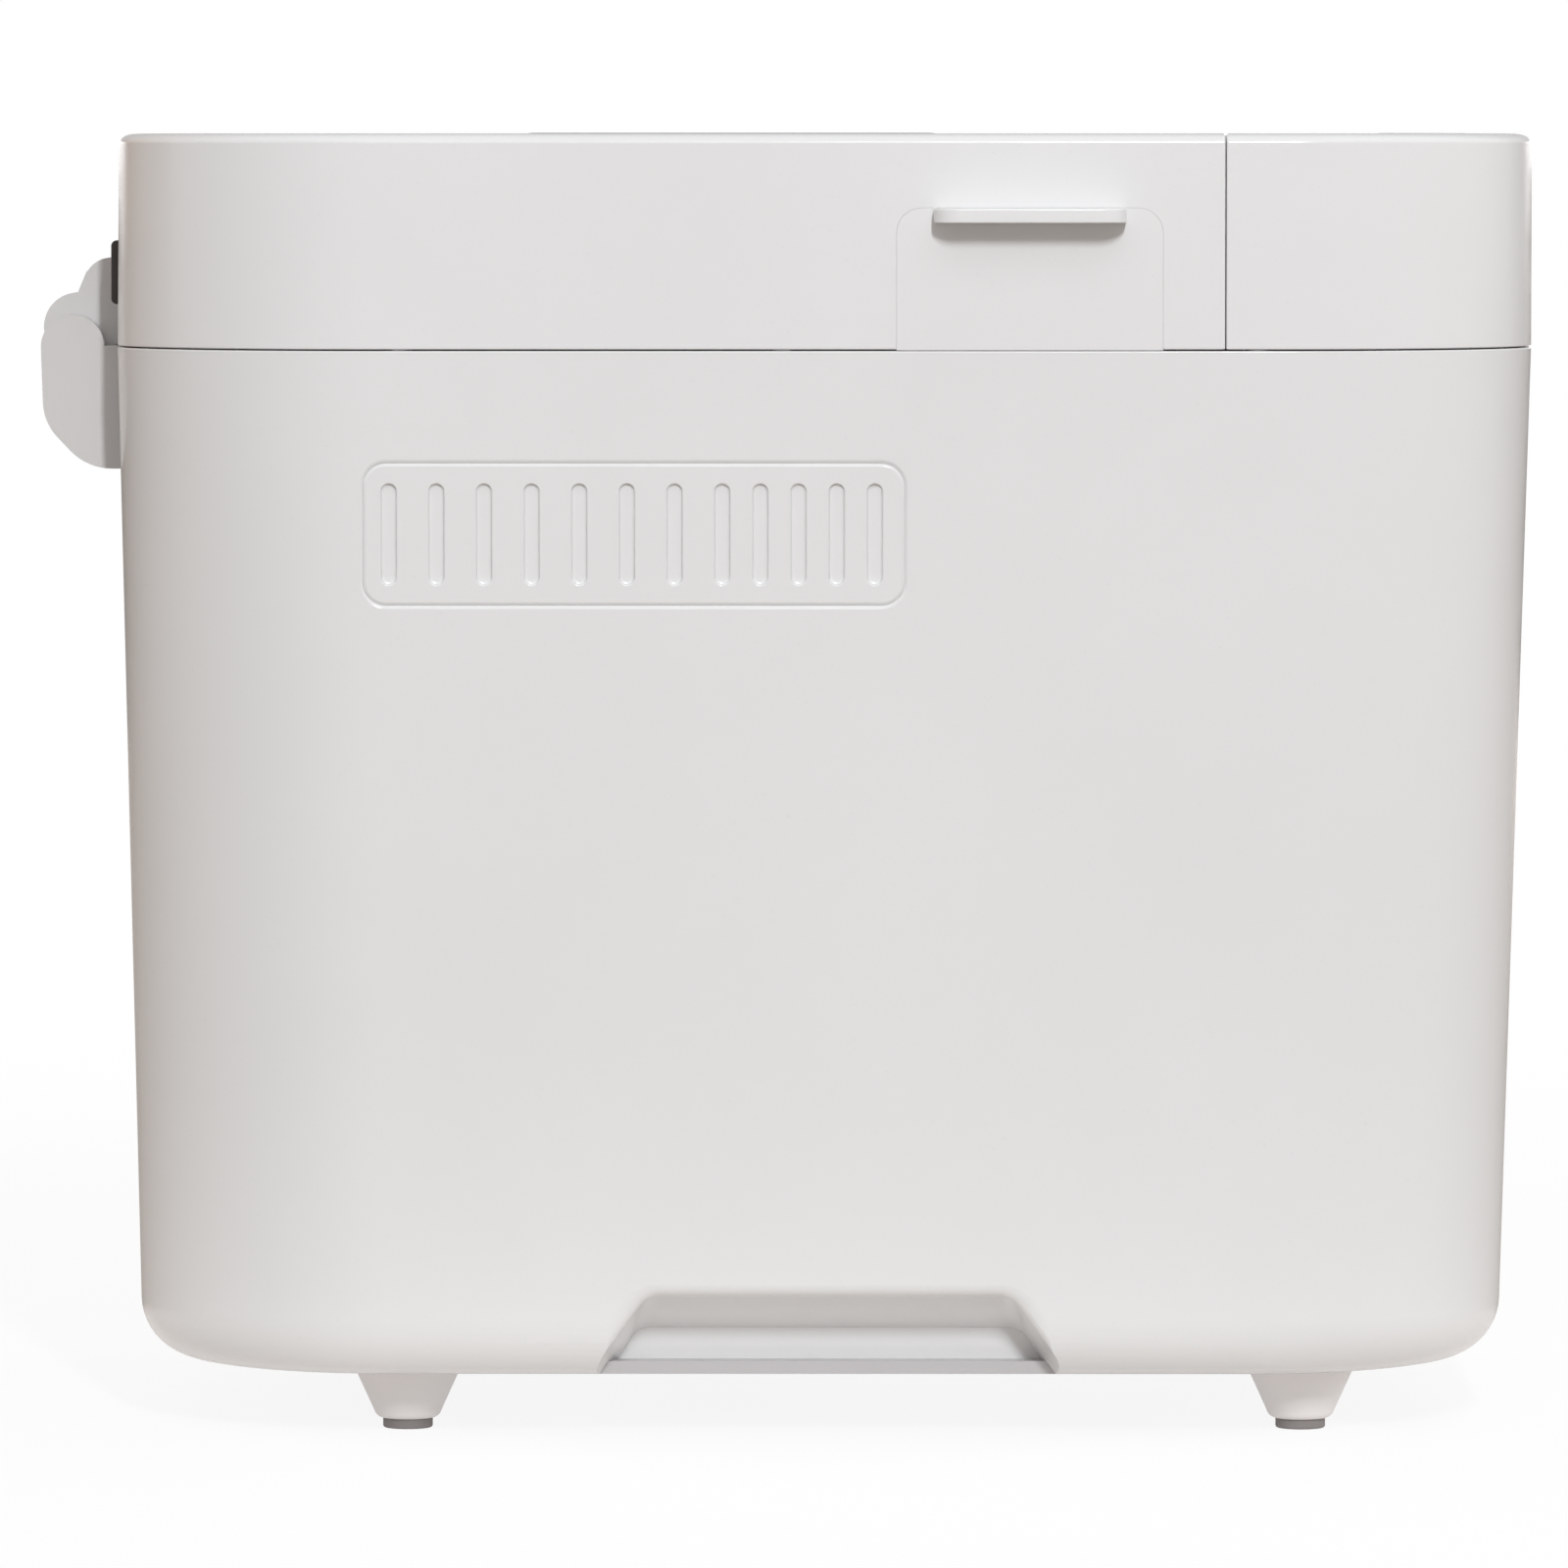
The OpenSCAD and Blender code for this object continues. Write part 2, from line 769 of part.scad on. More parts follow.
module deck_outline() {
    in = wall + fit;
    x = side_x(deck_bottom) - in;
    y0 = front_y + front_in(deck_bottom) + in;
    y1 = rear_face(deck_bottom) - in;
    r = corner_r - in;
    polygon(rounded([[-x, y0, r], [x, y0, r], [x, y1, r], [-x, y1, r]], 12));
}

module top_deck() {
    cable_slot = [50, 8];
    color(soft_white) difference() {
        translate([0, 0, deck_bottom]) linear_extrude(deck_t) deck_outline();
        translate([0, chamber_y, deck_bottom - over])
                plate(chamber_w, chamber_l, chamber_r, deck_t + 2 * over);
        for (sx = [-1, 1])
            for (y = deck_boss_ys())
                translate([sx * deck_boss_x, y, deck_top]) screw_hole(deck_t + over);
        translate([-cable_slot.x / 2, front_y + 34, deck_bottom - over])
            cube([cable_slot.x, cable_slot.y, deck_t + 2 * over]);
    }
}

// ---------- Chamber ----------

module chamber() {
    color(steel) translate([0, chamber_y, 0]) difference() {
        union() {
            translate([0, 0, floor_z - sheet_t])
                plate(chamber_w + 2 * sheet_t, chamber_l + 2 * sheet_t, chamber_r + sheet_t,
                      deck_bottom - floor_z + sheet_t);
            translate([0, 0, deck_bottom - sheet_t])
                plate(chamber_w + 2 * chamber_flange, chamber_l + 2 * chamber_flange,
                      chamber_r + chamber_flange, sheet_t);
        }
        translate([0, 0, floor_z]) plate(chamber_w, chamber_l, chamber_r, deck_bottom);
        translate([0, 0, floor_z - 2 * sheet_t]) cylinder(r = barrel_r + fit, h = 4 * sheet_t);
        for (sx = [-1, 1])
            translate([sx * terminal_x, 0, heater_z])
                rod_y(heater_r + fit, -chamber_outside - over, -chamber_l / 2 + over);
        translate([sensor_x, 0, sensor_z])
                rod_y(sensor_r + fit, -chamber_outside - over, -chamber_l / 2 + over);
    }
}

// The tube runs round the pan and leaves through the chamber's front wall
module heating_element() {
    color(dark) translate([0, chamber_y, heater_z]) {
        for (sx = [-1, 1]) {
            translate([sx * heater_x, 0, 0]) rod_y(heater_r, heater_bend - heater_y, heater_y - heater_bend);
            on_side(sx) {
                translate([0, -heater_y, 0])
                        rod_x(heater_r, terminal_x + terminal_bend, heater_x - heater_bend);
                translate([heater_x - heater_bend, heater_y - heater_bend, 0]) bend(heater_r, heater_bend, 0);
                translate([heater_x - heater_bend, heater_bend - heater_y, 0])
                        bend(heater_r, heater_bend, 270);
                translate([terminal_x + terminal_bend, -heater_y - terminal_bend, 0])
                    bend(heater_r, terminal_bend, 90);
                translate([terminal_x, 0, 0])
                    rod_y(heater_r, -heater_y - terminal_bend - terminal_out, -heater_y - terminal_bend);
            }
        }
        translate([0, heater_y, 0]) rod_x(heater_r, heater_bend - heater_x, heater_x - heater_bend);
    }
}

module heater_clips() {
    width = 2 * heater_r + 4;
    color(steel)
        for (sx = [-1, 1])
            for (sy = [-1, 1])
                translate([sx * heater_x, chamber_y + sy * clip_y, 0]) difference() {
                    translate([-width / 2, -2, floor_z]) cube([width, 4, heater_z + heater_r + 2 - floor_z]);
                    translate([0, 0, heater_z]) rod_y(heater_r + clip_fit, -3, 3);
                }
}

module temperature_sensor() {
    color(steel) translate([sensor_x, chamber_y, sensor_z]) {
        rod_y(sensor_r, -chamber_outside - sensor_tail, -pan_half.y - sensor_gap);
        rod_y(sensor_r + 3, -chamber_outside - 4, -chamber_outside);
    }
}

module pan_dock() {
    wall_t = 2.6;
    color(steel) translate([0, chamber_y, floor_z]) difference() {
        union() {
            cylinder(r = dock_r + wall_t + 5, h = dock_t);
            cylinder(r = dock_r + wall_t, h = dock_h);
        }
        translate([0, 0, dock_t]) cylinder(r = dock_r, h = dock_h);
        translate([0, 0, -over]) cylinder(r = coupler_r + 3, h = dock_t + 2 * over);
    }
}

module bearing_housing() {
    color(steel) translate([0, chamber_y, 0]) difference() {
        union() {
            translate([0, 0, bearing_z]) cylinder(r = barrel_r, h = bearing_top - bearing_z);
            translate([0, 0, chassis_top]) cylinder(r = bearing_flange_r, h = 3);
        }
        translate([0, 0, bearing_z - over]) cylinder(r = bush_r, h = bearing_top - bearing_z + 2 * over);
    }
}

module shaft_bush() {
    color("#b08d57") translate([0, chamber_y, bearing_z]) difference() {
        cylinder(r = bush_r, h = bearing_top - bearing_z);
        translate([0, 0, -over]) cylinder(r = drive_r + shaft_fit, h = bearing_top - bearing_z + 2 * over);
    }
}

// Steel plate on the base's posts; its four stools carry the chamber
module chassis_plate() {
    half = case_w / 2 - chassis_side_in;
    color(steel) difference() {
        union() {
            translate([0, 0, chassis_z]) linear_extrude(chassis_t)
                polygon(rounded([[-half, chassis_front, chassis_r], [half, chassis_front, chassis_r],
                    [half, chassis_rear, chassis_r], [-half, chassis_rear, chassis_r]]));
            for (sx = [-1, 1])
                for (sy = [-1, 1])
                    translate([sx * stool_x - stool / 2, chamber_y + sy * stool_y - stool / 2, chassis_top])
                        cube([stool, stool, floor_z - sheet_t - chassis_top]);
        }
        translate([0, chamber_y, chassis_z - over]) cylinder(r = barrel_r + fit, h = chassis_t + 2 * over);
        translate([0, motor_y, chassis_z - over]) cylinder(r = motor_shaft_r + 4, h = chassis_t + 2 * over);
        for (sx = [-1, 1])
            for (y = [post_front, post_rear])
                translate([sx * post_x, y, chassis_top]) screw_hole(chassis_t + over);
    }
}

// ---------- Drive ----------

module drive_shaft() {
    color(steel) translate([0, chamber_y, pulley_z - 2])
            cylinder(r = drive_r, h = coupler_z + coupler_hub - pulley_z + 2);
}

// Two dogs that drive the wing under the pan
module drive_coupler() {
    color("#9a9c9e") translate([0, chamber_y, 0]) {
        difference() {
            translate([0, 0, coupler_z]) cylinder(r = drive_r + 4, h = coupler_hub);
            translate([0, 0, coupler_z - over]) cylinder(r = drive_r, h = coupler_hub + over);
        }
        translate([0, 0, coupler_z + coupler_hub]) cylinder(r = coupler_r, h = coupler_t);
        for (turn = [90, 270])
            rotate([0, 0, turn]) translate([0, 0, coupler_top]) intersection() {
                difference() {
                    cylinder(r = dog_out, h = dog_h);
                    translate([0, 0, -over]) cylinder(r = dog_in, h = dog_h + 2 * over);
                }
                translate([dog_in - 3, -6, -over]) cube([dog_out, 12, dog_h + 2 * over]);
            }
    }
}

module drive_pulley() {
    web_holes = 6;
    color("#d8d6d2") translate([0, chamber_y, 0]) difference() {
        union() {
            translate([0, 0, pulley_z]) linear_extrude(pulley_w) polygon(pulley_points(large_teeth, large_r));
            translate([0, 0, pulley_z]) cylinder(r = drive_r + 6, h = pulley_hub_top - pulley_z);
        }
        translate([0, 0, pulley_z - over]) cylinder(r = drive_r, h = pulley_hub_top - pulley_z + 2 * over);
        for (i = [0 : web_holes - 1])
            rotate([0, 0, i * 360 / web_holes]) translate([large_r * 0.58, 0, pulley_z - over])
                cylinder(r = large_r * 0.2, h = pulley_w + 2 * over);
    }
}

// Outline of the space inside the belt, made larger all round by grow
function belt_points(grow) =
    let (r1 = large_r + belt_gap + grow, r2 = small_r + belt_gap + grow,
         lean = asin((r1 - r2) / belt_centres))
    [for (i = [0 : 48])
        let (a = i * (180 + 2 * lean) / 48 - lean) [r1 * cos(a), chamber_y + r1 * sin(a)],
     for (i = [0 : 16])
        let (a = 180 + lean + i * (180 - 2 * lean) / 16) [r2 * cos(a), motor_y + r2 * sin(a)]];

module drive_belt() {
    color(dark) translate([0, 0, belt_z]) difference() {
        linear_extrude(belt_w) polygon(belt_points(belt_t));
        translate([0, 0, -over]) linear_extrude(belt_w + 2 * over) polygon(belt_points(0));
    }
}

module motor_housing() {
    color("#8c9196") translate([0, motor_y, 0]) difference() {
        union() {
            translate([0, 0, chassis_top]) plate(motor_plate, motor_plate, 8, 2);
            translate([0, 0, chassis_top + 2]) cylinder(r = motor_r, h = motor_h);
            translate([0, 0, motor_top]) cylinder(r = motor_cap_r, h = motor_cap_h);
        }
        translate([0, 0, chassis_top + 2 + motor_wall])
            cylinder(r = motor_r - 2 * motor_wall, h = motor_h - 2 * motor_wall);
        translate([0, 0, chassis_z]) cylinder(r = motor_shaft_r + shaft_fit, h = motor_top + motor_cap_h);
    }
}

module motor_rotor() {
    core = motor_h - 2 * motor_wall - 2 * rotor_gap;
    color(steel) translate([0, motor_y, 0]) {
        translate([0, 0, pulley_z - 2])
                cylinder(r = motor_shaft_r, h = motor_top + motor_cap_h + 3 - pulley_z + 2);
        translate([0, 0, chassis_top + 2 + motor_wall + rotor_gap])
            cylinder(r = motor_r - 2 * motor_wall - 1, h = core);
    }
}

module motor_pulley() {
    color("#d8d6d2") translate([0, motor_y, 0]) difference() {
        union() {
            translate([0, 0, pulley_z]) linear_extrude(pulley_w) polygon(pulley_points(small_teeth, small_r));
            for (z = [pulley_z - 0.8, pulley_z + pulley_w])
                translate([0, 0, z]) cylinder(r = small_r + belt_t + 1, h = 0.8);
        }
        translate([0, 0, pulley_z - over]) cylinder(r = motor_shaft_r, h = pulley_w + 3 * over);
    }
}

module run_capacitor() {
    tab = [6, 1, 8];
    color("#c9cbd0") translate([capacitor_x, capacitor_y, chassis_top]) {
        cylinder(r = capacitor_r, h = capacitor_h);
        for (sx = [-1, 1])
            translate([sx * 5 - tab.x / 2, -tab.y / 2, capacitor_h]) cube(tab);
    }
}

module power_board() {
    relay = [16, 12, 15];
    transformer = [12, 10, 26];
    triac = [14, 4, 10];
    foot = [power_w, 14, 2];
    color("#2f6b45") translate([-power_x, power_y, chassis_top]) {
        translate([0, -6, 0]) cube(foot);
        cube([power_w, board_t, power_h]);
        translate([5, board_t, 10]) cube(relay);
        translate([28, board_t, 10]) cube(transformer);
        translate([6, board_t, 34]) cube(triac);
    }
}

// ---------- Control housing ----------

// The room under the front cover, for the board and its keys
module cover_cavity() {
    side = case_w / 2 - wall;
    back = split_y - split_gap / 2 - wall;
    front = front_y + wall;
    corners = [[-side, front, corner_r - wall], [side, front, corner_r - wall], [side, back, 0],
            [-side, back, 0]];
    translate([0, 0, lid_bottom - over]) linear_extrude(cover_under - lid_bottom + over)
        polygon(rounded(corners, 12));
}

module front_cover() {
    color(white) difference() {
        union() {
            difference() {
                intersection() {
                    lid_solid(0, lid_bottom, case_h, lid_round);
                    keep_between(front_y - over, split_y - split_gap / 2);
                }
                cover_cavity();
            }
            for (sx = [-1, 1]) {
                translate([sx * cover_foot_x, cover_foot_y, deck_top])
                        cylinder(r = 4, h = cover_under - deck_top);
                translate([sx * front_foot_x, front_foot_y, deck_top])
                        cylinder(r = 4, h = cover_under - deck_top);
                for (sy = [-1, 1])
                    translate([sx * (board_w / 2 - 6), overlay_y + sy * (board_l / 2 - 5), board_top])
                        cylinder(r = cover_post, h = cover_under - board_top);
            }
        }
        translate([0, overlay_y, case_h - overlay_t])
            plate(overlay_w, overlay_l, overlay_r, overlay_t + over);
        translate([0, display_y, cover_under - over])
            plate(display_w, display_l, 2, wall + 2 * over);
        for (i = [0 : 5])
            translate([key_x(i), key_y, cover_under - over]) cylinder(r = key_hole, h = wall + 2 * over);
    }
}

function key_x(i) = (i - 2.5) * key_pitch;

module control_overlay() {
    color(soft_white) translate([0, 0, case_h - overlay_t]) difference() {
        translate([0, overlay_y, 0])
            plate(overlay_w - 2 * hairline, overlay_l - 2 * hairline, overlay_r - hairline, overlay_t);
        translate([0, display_y, -over]) plate(display_w, display_l, 2, overlay_t + 2 * over);
        for (i = [0 : 5])
            translate([key_x(i), key_y, -over]) cylinder(r = key_hole, h = overlay_t + 2 * over);
    }
}

module display_lens() {
    color("#9fb0a6", 0.5) translate([0, display_y, cover_under])
        plate(display_w - 2 * hairline, display_l - 2 * hairline, 2 - hairline, wall);
}

module display_module() {
    color("#7c8f7a") translate([-display_w / 2 - 2, display_y - display_l / 2 - 2, board_top])
        cube([display_w + 4, display_l + 4, cover_under - hairline - board_top]);
}

module control_board() {
    color("#2f6b45") translate([0, overlay_y, board_top - board_t]) difference() {
        plate(board_w, board_l, 3, board_t);
        for (sx = [-1, 1])
            for (sy = [-1, 1])
                translate([sx * (board_w / 2 - 6), sy * (board_l / 2 - 5), -over])
                    cylinder(r = screw_r, h = board_t + 2 * over);
    }
}

module key_switches() {
    color(dark)
        for (i = [0 : 5])
            translate([key_x(i), key_y, board_top]) {
                translate([-switch_w / 2, -switch_w / 2, 0]) cube([switch_w, switch_w, switch_h]);
                cylinder(r = plunger_r, h = switch_h + plunger_h);
            }
}

// A key: cap, flange that stops it under the cover, and a stem over its switch
module key_button(i) {
    flange_top = cover_under - hairline;
    color(soft_white) translate([key_x(i), key_y, 0]) {
        rotate_extrude() polygon(rounded([[0, flange_top - key_flange_t, 0],
                [key_flange, flange_top - key_flange_t, 0],
            [key_flange, flange_top, 0], [key_r, flange_top, 0], [key_r, case_h + key_proud, 0.5],
            [0, case_h + key_proud, 0]]));
        translate([0, 0, stem_z]) cylinder(r = key_stem_r, h = flange_top - key_flange_t - stem_z);
    }
}

module menu_button() {
    key_button(0);
}

module size_button() {
    key_button(1);
}

module crust_button() {
    key_button(2);
}

module time_up_button() {
    key_button(3);
}

module time_down_button() {
    key_button(4);
}

module start_button() {
    key_button(5);
}

// ---------- Hinge ----------

function hinge_screw_zs() = [axis_z - bracket_drop + 7, axis_z - block_drop - 5];

// Side view of a cheek, its corners given from the hinge axis
module cheek_outline() {
    root = axis_y - rear_face(axis_z) - seat_gap;
    low_root = axis_y - rear_face(axis_z - bracket_drop) - seat_gap;
    polygon(rounded([[-root, 0.3, 0], [0, 0.3, 0], [0, knuckle_r * 0.5, 0], [knuckle_r, 0, 0],
        [knuckle_r - 0.6, -18.5, 13], [-3.5, -bracket_drop, 14], [-low_root, -bracket_drop, 0]], 8));
}

module block_outline() {
    root = axis_y - rear_face(axis_z - block_drop) - seat_gap;
    low_root = axis_y - rear_face(axis_z - bracket_drop) - seat_gap;
    polygon(rounded([[-root, -block_drop, 0], [knuckle_r - 0.3, -block_drop, 2],
        [knuckle_r - 0.6, -18.5, 13], [-3.5, -bracket_drop, 14], [-low_root, -bracket_drop, 0]], 8));
}

module hinge_bracket() {
    color(white) translate([0, axis_y, axis_z]) difference() {
        union() {
            for (side = [-1, 1])
                on_side(side) {
                    translate([cheek_in, 0, 0]) upright() linear_extrude(cheek_t) cheek_outline();
                    rod_x(knuckle_r, cheek_in, cheek_out);
                }
            translate([-cheek_in - over, 0, 0]) upright() linear_extrude(2 * (cheek_in + over))
                    block_outline();
        }
        rod_x(hinge_pin_r + hinge_fit, cheek_skin - cheek_out, cheek_out - cheek_skin);
        for (sx = [-1, 1])
            for (z = hinge_screw_zs())
                translate([sx * hinge_screw_x, 0, z - axis_z])
                    rod_y(screw_r + screw_fit, -hinge_out - over, screw_l - hinge_out - wall + over);
    }
}

module hinge_pin() {
    end = cheek_out - cheek_skin - fit;
    color(steel) translate([0, axis_y, axis_z]) rod_x(hinge_pin_r, -end, end);
}

module hinge_screws() {
    color(steel)
        for (sx = [-1, 1])
            for (z = hinge_screw_zs())
                translate([sx * hinge_screw_x, rear_face(z) - wall - 2 * fit, z]) rotate([90, 0, 0]) screw();
}

// Side view of the lid's arm above its knuckle, its corners given from the hinge axis
module arm_outline() {
    root = hinge_out - seat_gap;
    polygon([[-root, 1.6], [-root, 20.9], [-9.1, 21.7], [-5.2, 20.4], [-3, 18.2], [-0.9, 13.15], [0, 0],
            [-7, -1.5]]);
}

// A knuckle with two swellings above it, and a root that stands on the lid's back wall
module lid_hinge_arm() {
    color(white) translate([0, axis_y, axis_z]) difference() {
        union() {
            translate([-arm_half, 0, 0]) upright() linear_extrude(2 * arm_half) arm_outline();
            rod_x(knuckle_r, -arm_half, arm_half);
            translate([0, -0.95, 4.8]) rod_x(8.35, -arm_half, arm_half);
            translate([0, -9.1, 15]) rod_x(6.7, -arm_half, arm_half);
        }
        translate([-2 * arm_half, -2 * hinge_out - hinge_out + seat_gap, 0])
            cube([4 * arm_half, 2 * hinge_out, 4 * hinge_out]);
        rod_x(hinge_pin_r + 2 * hinge_fit, -arm_half - over, arm_half + over);
        for (sx = [-1, 1])
            for (z = arm_screw_zs())
                translate([sx * hinge_screw_x, 0, z - axis_z])
                    rod_y(screw_r + screw_fit, -hinge_out - over, screw_l - hinge_out - wall + over);
    }
}

function arm_screw_zs() = [axis_z + 10, axis_z + 17];

module mains_gland() {
    wall_y = rear_face(gland_z);
    color(dark) translate([gland_x, 0, gland_z]) difference() {
        union() {
            rod_y(gland_barrel, wall_y - gland_in, wall_y + fit);
            rod_y(gland_flange, wall_y + fit, wall_y + fit + gland_flange_t);
            rod_y(gland_barrel, wall_y + fit, wall_y + fit + 2 * gland_flange_t);
        }
        rod_y(gland_bore, wall_y - gland_in - over, wall_y + 3 * gland_flange_t);
    }
}

// ---------- Lid ----------

function rear_bosses() = [case_y - 6, window_y + liner_boss_y];

module lid_shell() {
    color(white) difference() {
        union() {
            difference() {
                intersection() {
                    lid_solid(0, lid_bottom, case_h, lid_round);
                    keep_between(split_y + split_gap / 2, rear_y + over);
                }
                intersection() {
                    lid_solid(wall, lid_bottom - over, case_h - wall, lid_round);
                    keep_between(split_y + split_gap / 2 + wall, rear_y);
                }
            }
            for (sx = [-1, 1])
                for (y = rear_bosses())
                    translate([sx * lid_boss_x, y, lid_boss_low])
                        cylinder(r = boss_r, h = case_h - wall - lid_boss_low);
        }
        translate([0, window_y, case_h - window_t + window_proud])
            plate(window_w + 2 * hairline, window_l + 2 * hairline, window_r + hairline, window_t);
        translate([0, window_y, case_h - 2 * wall])
            plate(window_w - 2 * window_ledge, window_l - 2 * window_ledge, window_r - window_ledge,
                    3 * wall);
        for (side = [-1, 1]) {
            on_side(side) translate([case_w / 2, tab_y, lid_bottom]) upright() translate([0, 0, -insert_t])
                linear_extrude(insert_t + over) insert_outline(0);
            on_side(side) steam_box(0, steam_deep, over);
            for (z = arm_screw_zs())
                translate([side * hinge_screw_x, 0, z])
                        rod_y(screw_r + screw_fit, rear_y - 3 * wall, rear_y + over);
            for (y = rear_bosses())
                translate([side * lid_boss_x, y, lid_boss_low]) mirror([0, 0, 1]) screw_hole(20);
        }
    }
}

// The insert's lower edge is flush with the lid's lower edge
module insert_outline(gap) {
    w = insert_l / 2 - gap;
    polygon(rounded([[-w, gap > 0 ? 0 : -over, 0], [w, gap > 0 ? 0 : -over, 0],
        [w, insert_h - gap, insert_r - gap], [-w, insert_h - gap, insert_r - gap]]));
}

// Insert with its lifting tab, a shelf with rounded outer corners
module lid_grip() {
    translate([case_w / 2, tab_y, 0]) {
        translate([0, 0, lid_bottom]) upright() translate([0, 0, -insert_t])
            linear_extrude(insert_t) insert_outline(hairline);
        translate([0, 0, tab_top - hairline - tab_t]) linear_extrude(tab_t)
            polygon(rounded([[-insert_t / 2, -tab_l / 2, 0], [tab_out, -tab_l / 2, tab_round],
                [tab_out, tab_l / 2, tab_round], [-insert_t / 2, tab_l / 2, 0]], 8));
    }
}

module lid_grip_left() {
    color(white) on_side(-1) lid_grip();
}

module lid_grip_right() {
    color(white) on_side(1) lid_grip();
}

module steam_box(gap, deep, out) {
    translate([steam_in + gap, rear_y - deep, lid_bottom + steam_low + gap])
        cube([steam_w - 2 * gap, deep + out, steam_h - 2 * gap]);
}

module lid_vents() {
    slits = 4;
    pitch = (steam_h - 3) / slits;
    color(dark)
        for (side = [-1, 1])
            on_side(side) difference() {
                steam_box(hairline, steam_deep, steam_out);
                for (i = [0 : slits - 1])
                    translate([steam_in + 2, rear_y + steam_out - 1,
                            lid_bottom + steam_low + 2.4 + i * pitch])
                        cube([steam_w - 4, 2, 1.6]);
            }
}

module lid_window() {
    color("#6f6a66", 0.6) translate([0, window_y, case_h - window_t + window_proud])
        plate(window_w, window_l, window_r, window_t);
}

module window_frame() {
    z = dome_top + dome_t + pane_t;
    color(dark) translate([0, window_y, z]) difference() {
        plate(window_w + 2, window_l + 2, window_r + 1, case_h - wall - z);
        translate([0, 0, -over])
            plate(window_w - 2 * window_ledge, window_l - 2 * window_ledge, window_r - window_ledge,
                    2 * dome_h);
    }
}

module inner_window() {
    color("#c8d0d0", 0.4) translate([0, window_y, dome_top + dome_t])
            plate(window_w, window_l, window_r, pane_t);
}

// Flange that closes the lid, with a domed roof over the pan
module lid_liner() {
    color(steel) difference() {
        union() {
            translate([0, 0, flange_z]) linear_extrude(flange_t) {
                x = case_w / 2 - lid_wall_in;
                y0 = split_y + split_gap / 2 + lid_wall_in;
                y1 = rear_y - lid_wall_in - fit;
                r = corner_r - lid_wall_in;
                polygon(rounded([[-x, y0, 1], [x, y0, 1], [x, y1, r], [-x, y1, r]], 12));
            }
            translate([0, chamber_y, 0]) liner_dome(dome_t, flange_z, dome_top + dome_t);
        }
        translate([0, chamber_y, 0]) liner_dome(0, flange_z - over, dome_top);
        translate([0, window_y, dome_top - over])
            plate(window_w - 2 * window_ledge, window_l - 2 * window_ledge, window_r - window_ledge,
                    4 * over);
        for (sx = [-1, 1])
            for (y = rear_bosses())
                translate([sx * lid_boss_x, y, flange_z + flange_t]) screw_hole(flange_t + over);
    }
}

module liner_dome(grow, low, top) {
    round = 8;
    hull() {
        disc_ring(low, dome_low + [grow, grow], dome_r + grow);
        for (a = [0 : 30 : 90])
            disc_ring(top - slice_h - round * (1 - cos(a)),
                dome_high + [1, 1] * (grow - round * (1 - sin(a))), dome_r + grow - round * (1 - sin(a)));
    }
}

module lid_seal() {
    inner = dome_low * 2 + [2, 2];
    color(grey) translate([0, chamber_y, deck_top + fit]) difference() {
        plate(inner.x + 2 * seal_w, inner.y + 2 * seal_w, dome_r + seal_w, flange_z - deck_top - fit);
        translate([0, 0, -over]) plate(inner.x, inner.y, dome_r, 2 * over + flange_z - deck_top);
    }
}

module lid_screws() {
    color(steel)
        for (sx = [-1, 1]) {
            for (z = arm_screw_zs())
                translate([sx * hinge_screw_x, rear_y - wall - 2 * fit, z]) rotate([90, 0, 0]) screw();
            for (y = rear_bosses())
                translate([sx * lid_boss_x, y, flange_z]) mirror([0, 0, 1]) liner_screw();
        }
}

// Countersunk flush under the liner's flange
module liner_screw() {
    translate([0, 0, -flange_t - screw_l]) cylinder(r = screw_r, h = screw_l + flange_t);
    cylinder(r = head_r, h = 0.4);
}

// ---------- Pan ----------

module pan() {
    low = pan_half - [pan_taper, pan_taper];
    color(coated) translate([0, chamber_y, 0]) difference() {
        union() {
            tub(pan_z, pan_top, low, pan_half, pan_r, pan_round);
            translate([0, 0, pan_top - rim_t])
                plate(pan_w + 2 * rim_w, pan_l + 2 * rim_w, pan_r + rim_w, rim_t, 10);
        }
        tub(pan_z + pan_t, pan_top + over, low - [pan_t, pan_t], pan_half - [pan_t, pan_t], pan_r - pan_t,
            pan_round - pan_t);
        translate([0, 0, pan_z - over]) cylinder(r = pan_bush_r + 0.02, h = pan_t + 2 * over);
    }
}

module pan_base_ring() {
    ring_z = floor_z + dock_t + fit;
    color(steel) translate([0, chamber_y, ring_z]) difference() {
        cylinder(r = ring_r, h = pan_z - ring_z);
        translate([0, 0, -over]) cylinder(r = ring_r - ring_t, h = pan_z - ring_z + 2 * over);
    }
}

module pan_bush() {
    color("#b08d57") translate([0, chamber_y, 0]) difference() {
        union() {
            translate([0, 0, pan_bush_z]) cylinder(r = pan_bush_r, h = pan_bush_top - pan_bush_z);
            translate([0, 0, pan_z - 2]) cylinder(r = pan_bush_flange, h = 2);
        }
        translate([0, 0, pan_bush_z - over])
            cylinder(r = pan_shaft_r + shaft_fit, h = pan_bush_top - pan_bush_z + 2 * over);
    }
}

function pan_side(z) = pan_w / 2 - pan_taper * (pan_top - z) / (pan_top - pan_z - pan_round);

